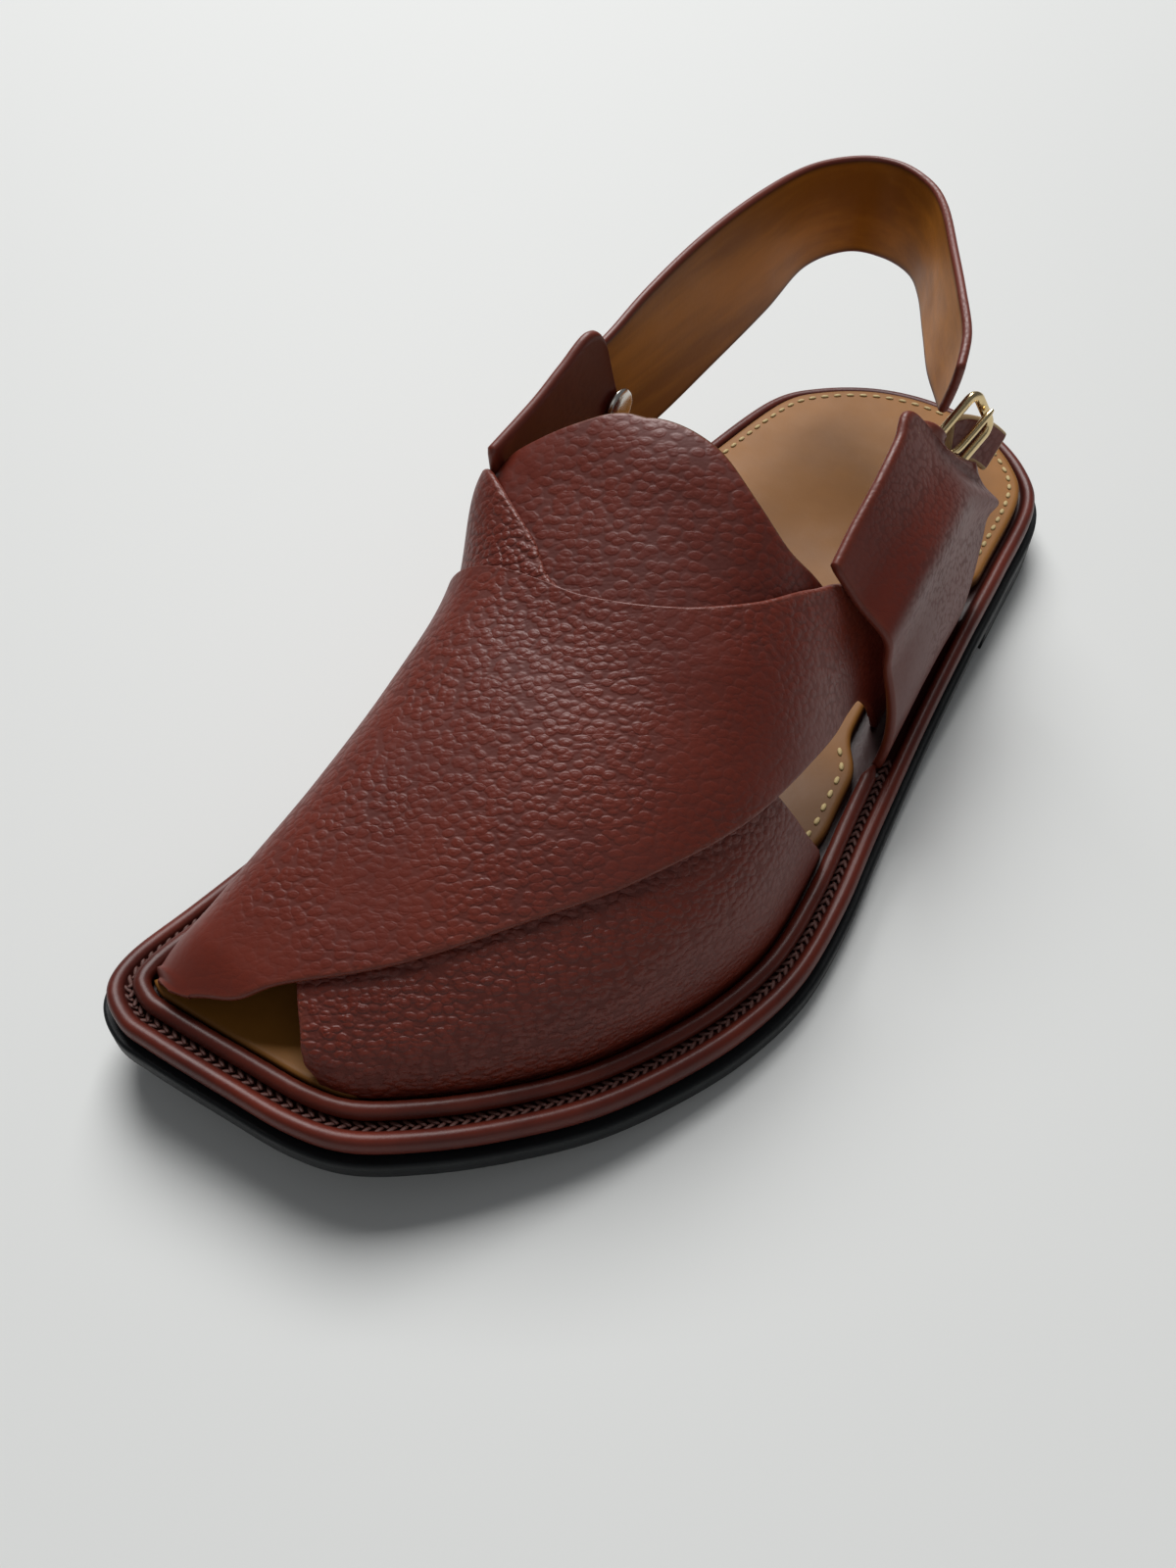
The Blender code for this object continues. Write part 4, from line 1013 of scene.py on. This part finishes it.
stitchNodes = {
    "source": "NodeGroupInput", "sink": "NodeGroupOutput", "toCurve": "GeometryNodeMeshToCurve",
    "spaced": "GeometryNodeResampleCurve", "tangent": "GeometryNodeInputTangent",
    "align": "FunctionNodeAlignRotationToVector", "info": "GeometryNodeObjectInfo",
    "points": "GeometryNodeInstanceOnPoints", "jitter": "FunctionNodeRandomValue",
    "turn": "ShaderNodeCombineXYZ", "rotate": "GeometryNodeRotateInstances",
    "real": "GeometryNodeRealizeInstances", "paint": "GeometryNodeSetMaterial", "negative": "ShaderNodeMath",
}
stitchLinks = [
    ("source", "Geometry", "toCurve", "Mesh"), ("toCurve", "Curve", "spaced", "Curve"),
    ("source", "Pitch", "spaced", "Length"), ("tangent", "Tangent", "align", "Vector"),
    ("source", "Stitch", "info", "Object"), ("spaced", "Curve", "points", "Points"),
    ("info", "Geometry", "points", "Instance"), ("align", "Rotation", "points", "Rotation"),
    ("source", "Wobble", "negative", 0), ("negative", 0, "jitter", 2), ("source", "Wobble", "jitter", 3),
    ("source", "Seed", "jitter", "Seed"), ("jitter", 1, "turn", "Z"),
    ("points", "Instances", "rotate", "Instances"), ("turn", "Vector", "rotate", "Rotation"),
    ("rotate", "Instances", "real", "Geometry"), ("real", "Geometry", "paint", "Geometry"),
    ("source", "Thread", "paint", "Material"), ("paint", "Geometry", "sink", "Geometry"),
]


def stitchTree(name):
    tree = bpy.data.node_groups.new(name, "GeometryNodeTree")
    inputs = {}
    for key, kind in (("Geometry", "Geometry"), ("Pitch", "Float"), ("Stitch", "Object"),
                      ("Wobble", "Float"), ("Seed", "Int"), ("Thread", "Material")):
        socket = tree.interface.new_socket(key, in_out="INPUT", socket_type="NodeSocket" + kind)
        inputs[key] = socket.identifier
    tree.interface.new_socket("Geometry", in_out="OUTPUT", socket_type="NodeSocketGeometry")
    nodes = {key: tree.nodes.new(kind) for key, kind in stitchNodes.items()}
    nodes["spaced"].mode = "LENGTH"
    nodes["align"].axis = "X"
    nodes["jitter"].data_type = "FLOAT"
    nodes["negative"].operation = "MULTIPLY"
    nodes["negative"].inputs[1].default_value = -1.0
    for near, out, far, into in stitchLinks:
        tree.links.new(nodes[near].outputs[out], nodes[far].inputs[into])
    return tree, inputs


stitchGroup, stitchInputs = stitchTree("stitchesAlongPath")


def sew(name, path, seam, stitch, thread):
    edges = [(k, k + 1) for k in range(len(path) - 1)]
    mesh = bpy.data.meshes.new(name + "Path")
    mesh.from_pydata([tuple(p) for p in path], edges, [])
    guide = stand(name + "Guide", mesh)
    stitching = guide.modifiers.new("stitches", "NODES")
    stitching.node_group = stitchGroup
    for key, value in (("Pitch", seam["pitch"]), ("Stitch", stitch), ("Wobble", seam["wobble"]),
                       ("Seed", seam["seed"]), ("Thread", finishes[thread])):
        stitching[stitchInputs[key]] = value
    guide.update_tag()
    bpy.context.view_layer.update()
    made = bpy.data.meshes.new_from_object(guide.evaluated_get(bpy.context.evaluated_depsgraph_get()))
    bpy.data.objects.remove(guide)
    piece = stand(name, made)
    for polygon in made.polygons:
        polygon.use_smooth = True
    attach(piece, "root")
    return piece


def seamPath(loop, height):
    return np.column_stack([loop, rise(loop[:, 1]) + height])


# Groove round the welt, with two lanes of slanted stitches
weltSeam = {
    "inset": 0.00455, "drop": 0.0013, "pitch": 0.0023, "long": 0.0026, "wide": 0.0010, "high": 0.0006,
    "outerFrom": 0.455, "innerFrom": 0.60, "lane": 0.00045, "tilt": 0.62, "wobble": 0.15, "seed": 3,
    "points": 900,
}
grooveHeight = shoe["outsole"] + shoe["gap"] + shoe["welt"] - weltSeam["drop"]
groovePath = seamPath(inset(weltLoop, weltSeam["inset"], weltSeam["points"]), grooveHeight)
grooveOpen = aheadOf(groovePath[:, :2], weltSeam["outerFrom"], weltSeam["innerFrom"])
for side, way in (("A", 1), ("B", -1)):
    knot = stitchMesh("weltStitch" + side, weltSeam, way * weltSeam["tilt"], "weltThread")
    shift = outward(groovePath[:, :2])[grooveOpen] * way * weltSeam["lane"]
    lane = groovePath[grooveOpen] + np.column_stack([shift, np.zeros(len(shift))])
    sew("weltSeam" + side, lane, weltSeam, knot, "weltThread")
    bpy.data.objects.remove(knot)

# Insole: a row of single stitches round the heel and one in the window beside the ear
insoleSeam = {
    "inset": 0.0030, "pitch": 0.0039, "long": 0.0022, "wide": 0.0012, "high": 0.0008, "wobble": 0.05,
    "seed": 5, "points": 900, "lift": 0.0001, "heelOuter": 0.35, "heelInner": 0.47, "windowFrom": 0.475,
    "windowTo": 0.565,
}
insoleTop = shelfHeight + shoe["gap"] + shoe["insole"]
seamLoop = inset(variedInset(weltLoop, insoleOuter, insoleInner), insoleSeam["inset"], insoleSeam["points"])
seamOuter, seamShare = sides(seamLoop)
dash = stitchMesh("insoleStitch", insoleSeam, 0.0, "creamThread")
heelRows = np.where(seamOuter, seamShare < insoleSeam["heelOuter"], seamShare < insoleSeam["heelInner"])
firstRow = int(np.argmin(heelRows))
heelSeam = np.roll(seamLoop, -firstRow, axis=0)[np.roll(heelRows, -firstRow)]
windowRows = (seamShare > insoleSeam["windowFrom"]) & (seamShare < insoleSeam["windowTo"])
windowSeam = seamLoop[seamOuter & windowRows]
for seamName, run in (("insoleSeamHeel", heelSeam), ("insoleSeamWindow", windowSeam)):
    path = seamPath(run, insoleTop + insoleSeam["lift"])
    sew(seamName, path, insoleSeam, dash, "creamThread")
bpy.data.objects.remove(dash)
print("seams sewn")

# Floor, light and camera
studio = {
    "floor": rgb(216, 217, 215), "reach": 4.0, "sky": 0.13, "skyTint": (0.93, 0.96, 1.0, 1.0),
    "window": {"spot": (-2.15, 2.30, 3.85), "size": 3.0, "power": 290.0},
    "bounce": {"spot": (0.9, -0.9, 0.9), "size": 1.6, "power": 2.0},
    "azimuth": 36.047, "elevation": 50.451, "roll": 0.818, "spot": (0.1017, -0.1895, 0.2414),
    "sensor": 24.0, "lens": 19.5, "clip": (0.01, 50.0),
}


def makeFloor():
    mesh = bpy.data.meshes.new("floorSheet")
    size = studio["reach"]
    corners = [(x * size, y * size, 0) for x, y in ((-1, -1), (1, -1), (1, 1), (-1, 1))]
    mesh.from_pydata(corners, [], [(0, 1, 2, 3)])
    kit = Finish("floorPaper")
    mesh.materials.append(kit.finish(Base_Color=studio["floor"], Roughness=0.6))
    stand("floorSheet", mesh)


def makeLight(name):
    light = studio[name]
    lamp = bpy.data.lights.new(name, "AREA")
    lamp.energy, lamp.size = light["power"], light["size"]
    thing = stand(name, lamp)
    thing.location = light["spot"]
    thing.rotation_euler = (-Vector(light["spot"])).to_track_quat("-Z", "Y").to_euler()


def makeCamera():
    # The photograph's own angle to the shoe, with its slight roll
    azimuth, elevation, roll = [math.radians(studio[key]) for key in ("azimuth", "elevation", "roll")]
    back = Vector((math.sin(azimuth) * math.cos(elevation), -math.cos(azimuth) * math.cos(elevation),
                   math.sin(elevation)))
    right = Vector((math.cos(azimuth), math.sin(azimuth), 0))
    up = back.cross(right)
    across = right * math.cos(roll) + up * math.sin(roll)
    upright = up * math.cos(roll) - right * math.sin(roll)
    lens = bpy.data.cameras.new("camera")
    lens.sensor_fit, lens.lens = "VERTICAL", studio["lens"]
    lens.sensor_height = lens.sensor_width = studio["sensor"]
    lens.clip_start, lens.clip_end = studio["clip"]
    camera = stand("camera", lens)
    turn = Matrix((across, upright, back)).transposed().to_4x4()
    camera.matrix_world = Matrix.Translation(studio["spot"]) @ turn
    bpy.context.scene.camera = camera


makeFloor()
makeLight("window")
makeLight("bounce")
world = bpy.data.worlds.new("studioSky")
world.use_nodes = True
world.node_tree.nodes["Background"].inputs[0].default_value = studio["skyTint"]
world.node_tree.nodes["Background"].inputs[1].default_value = studio["sky"]
bpy.context.scene.world = world
bpy.context.scene.view_settings.view_transform = "Standard"
makeCamera()
print("stage set")
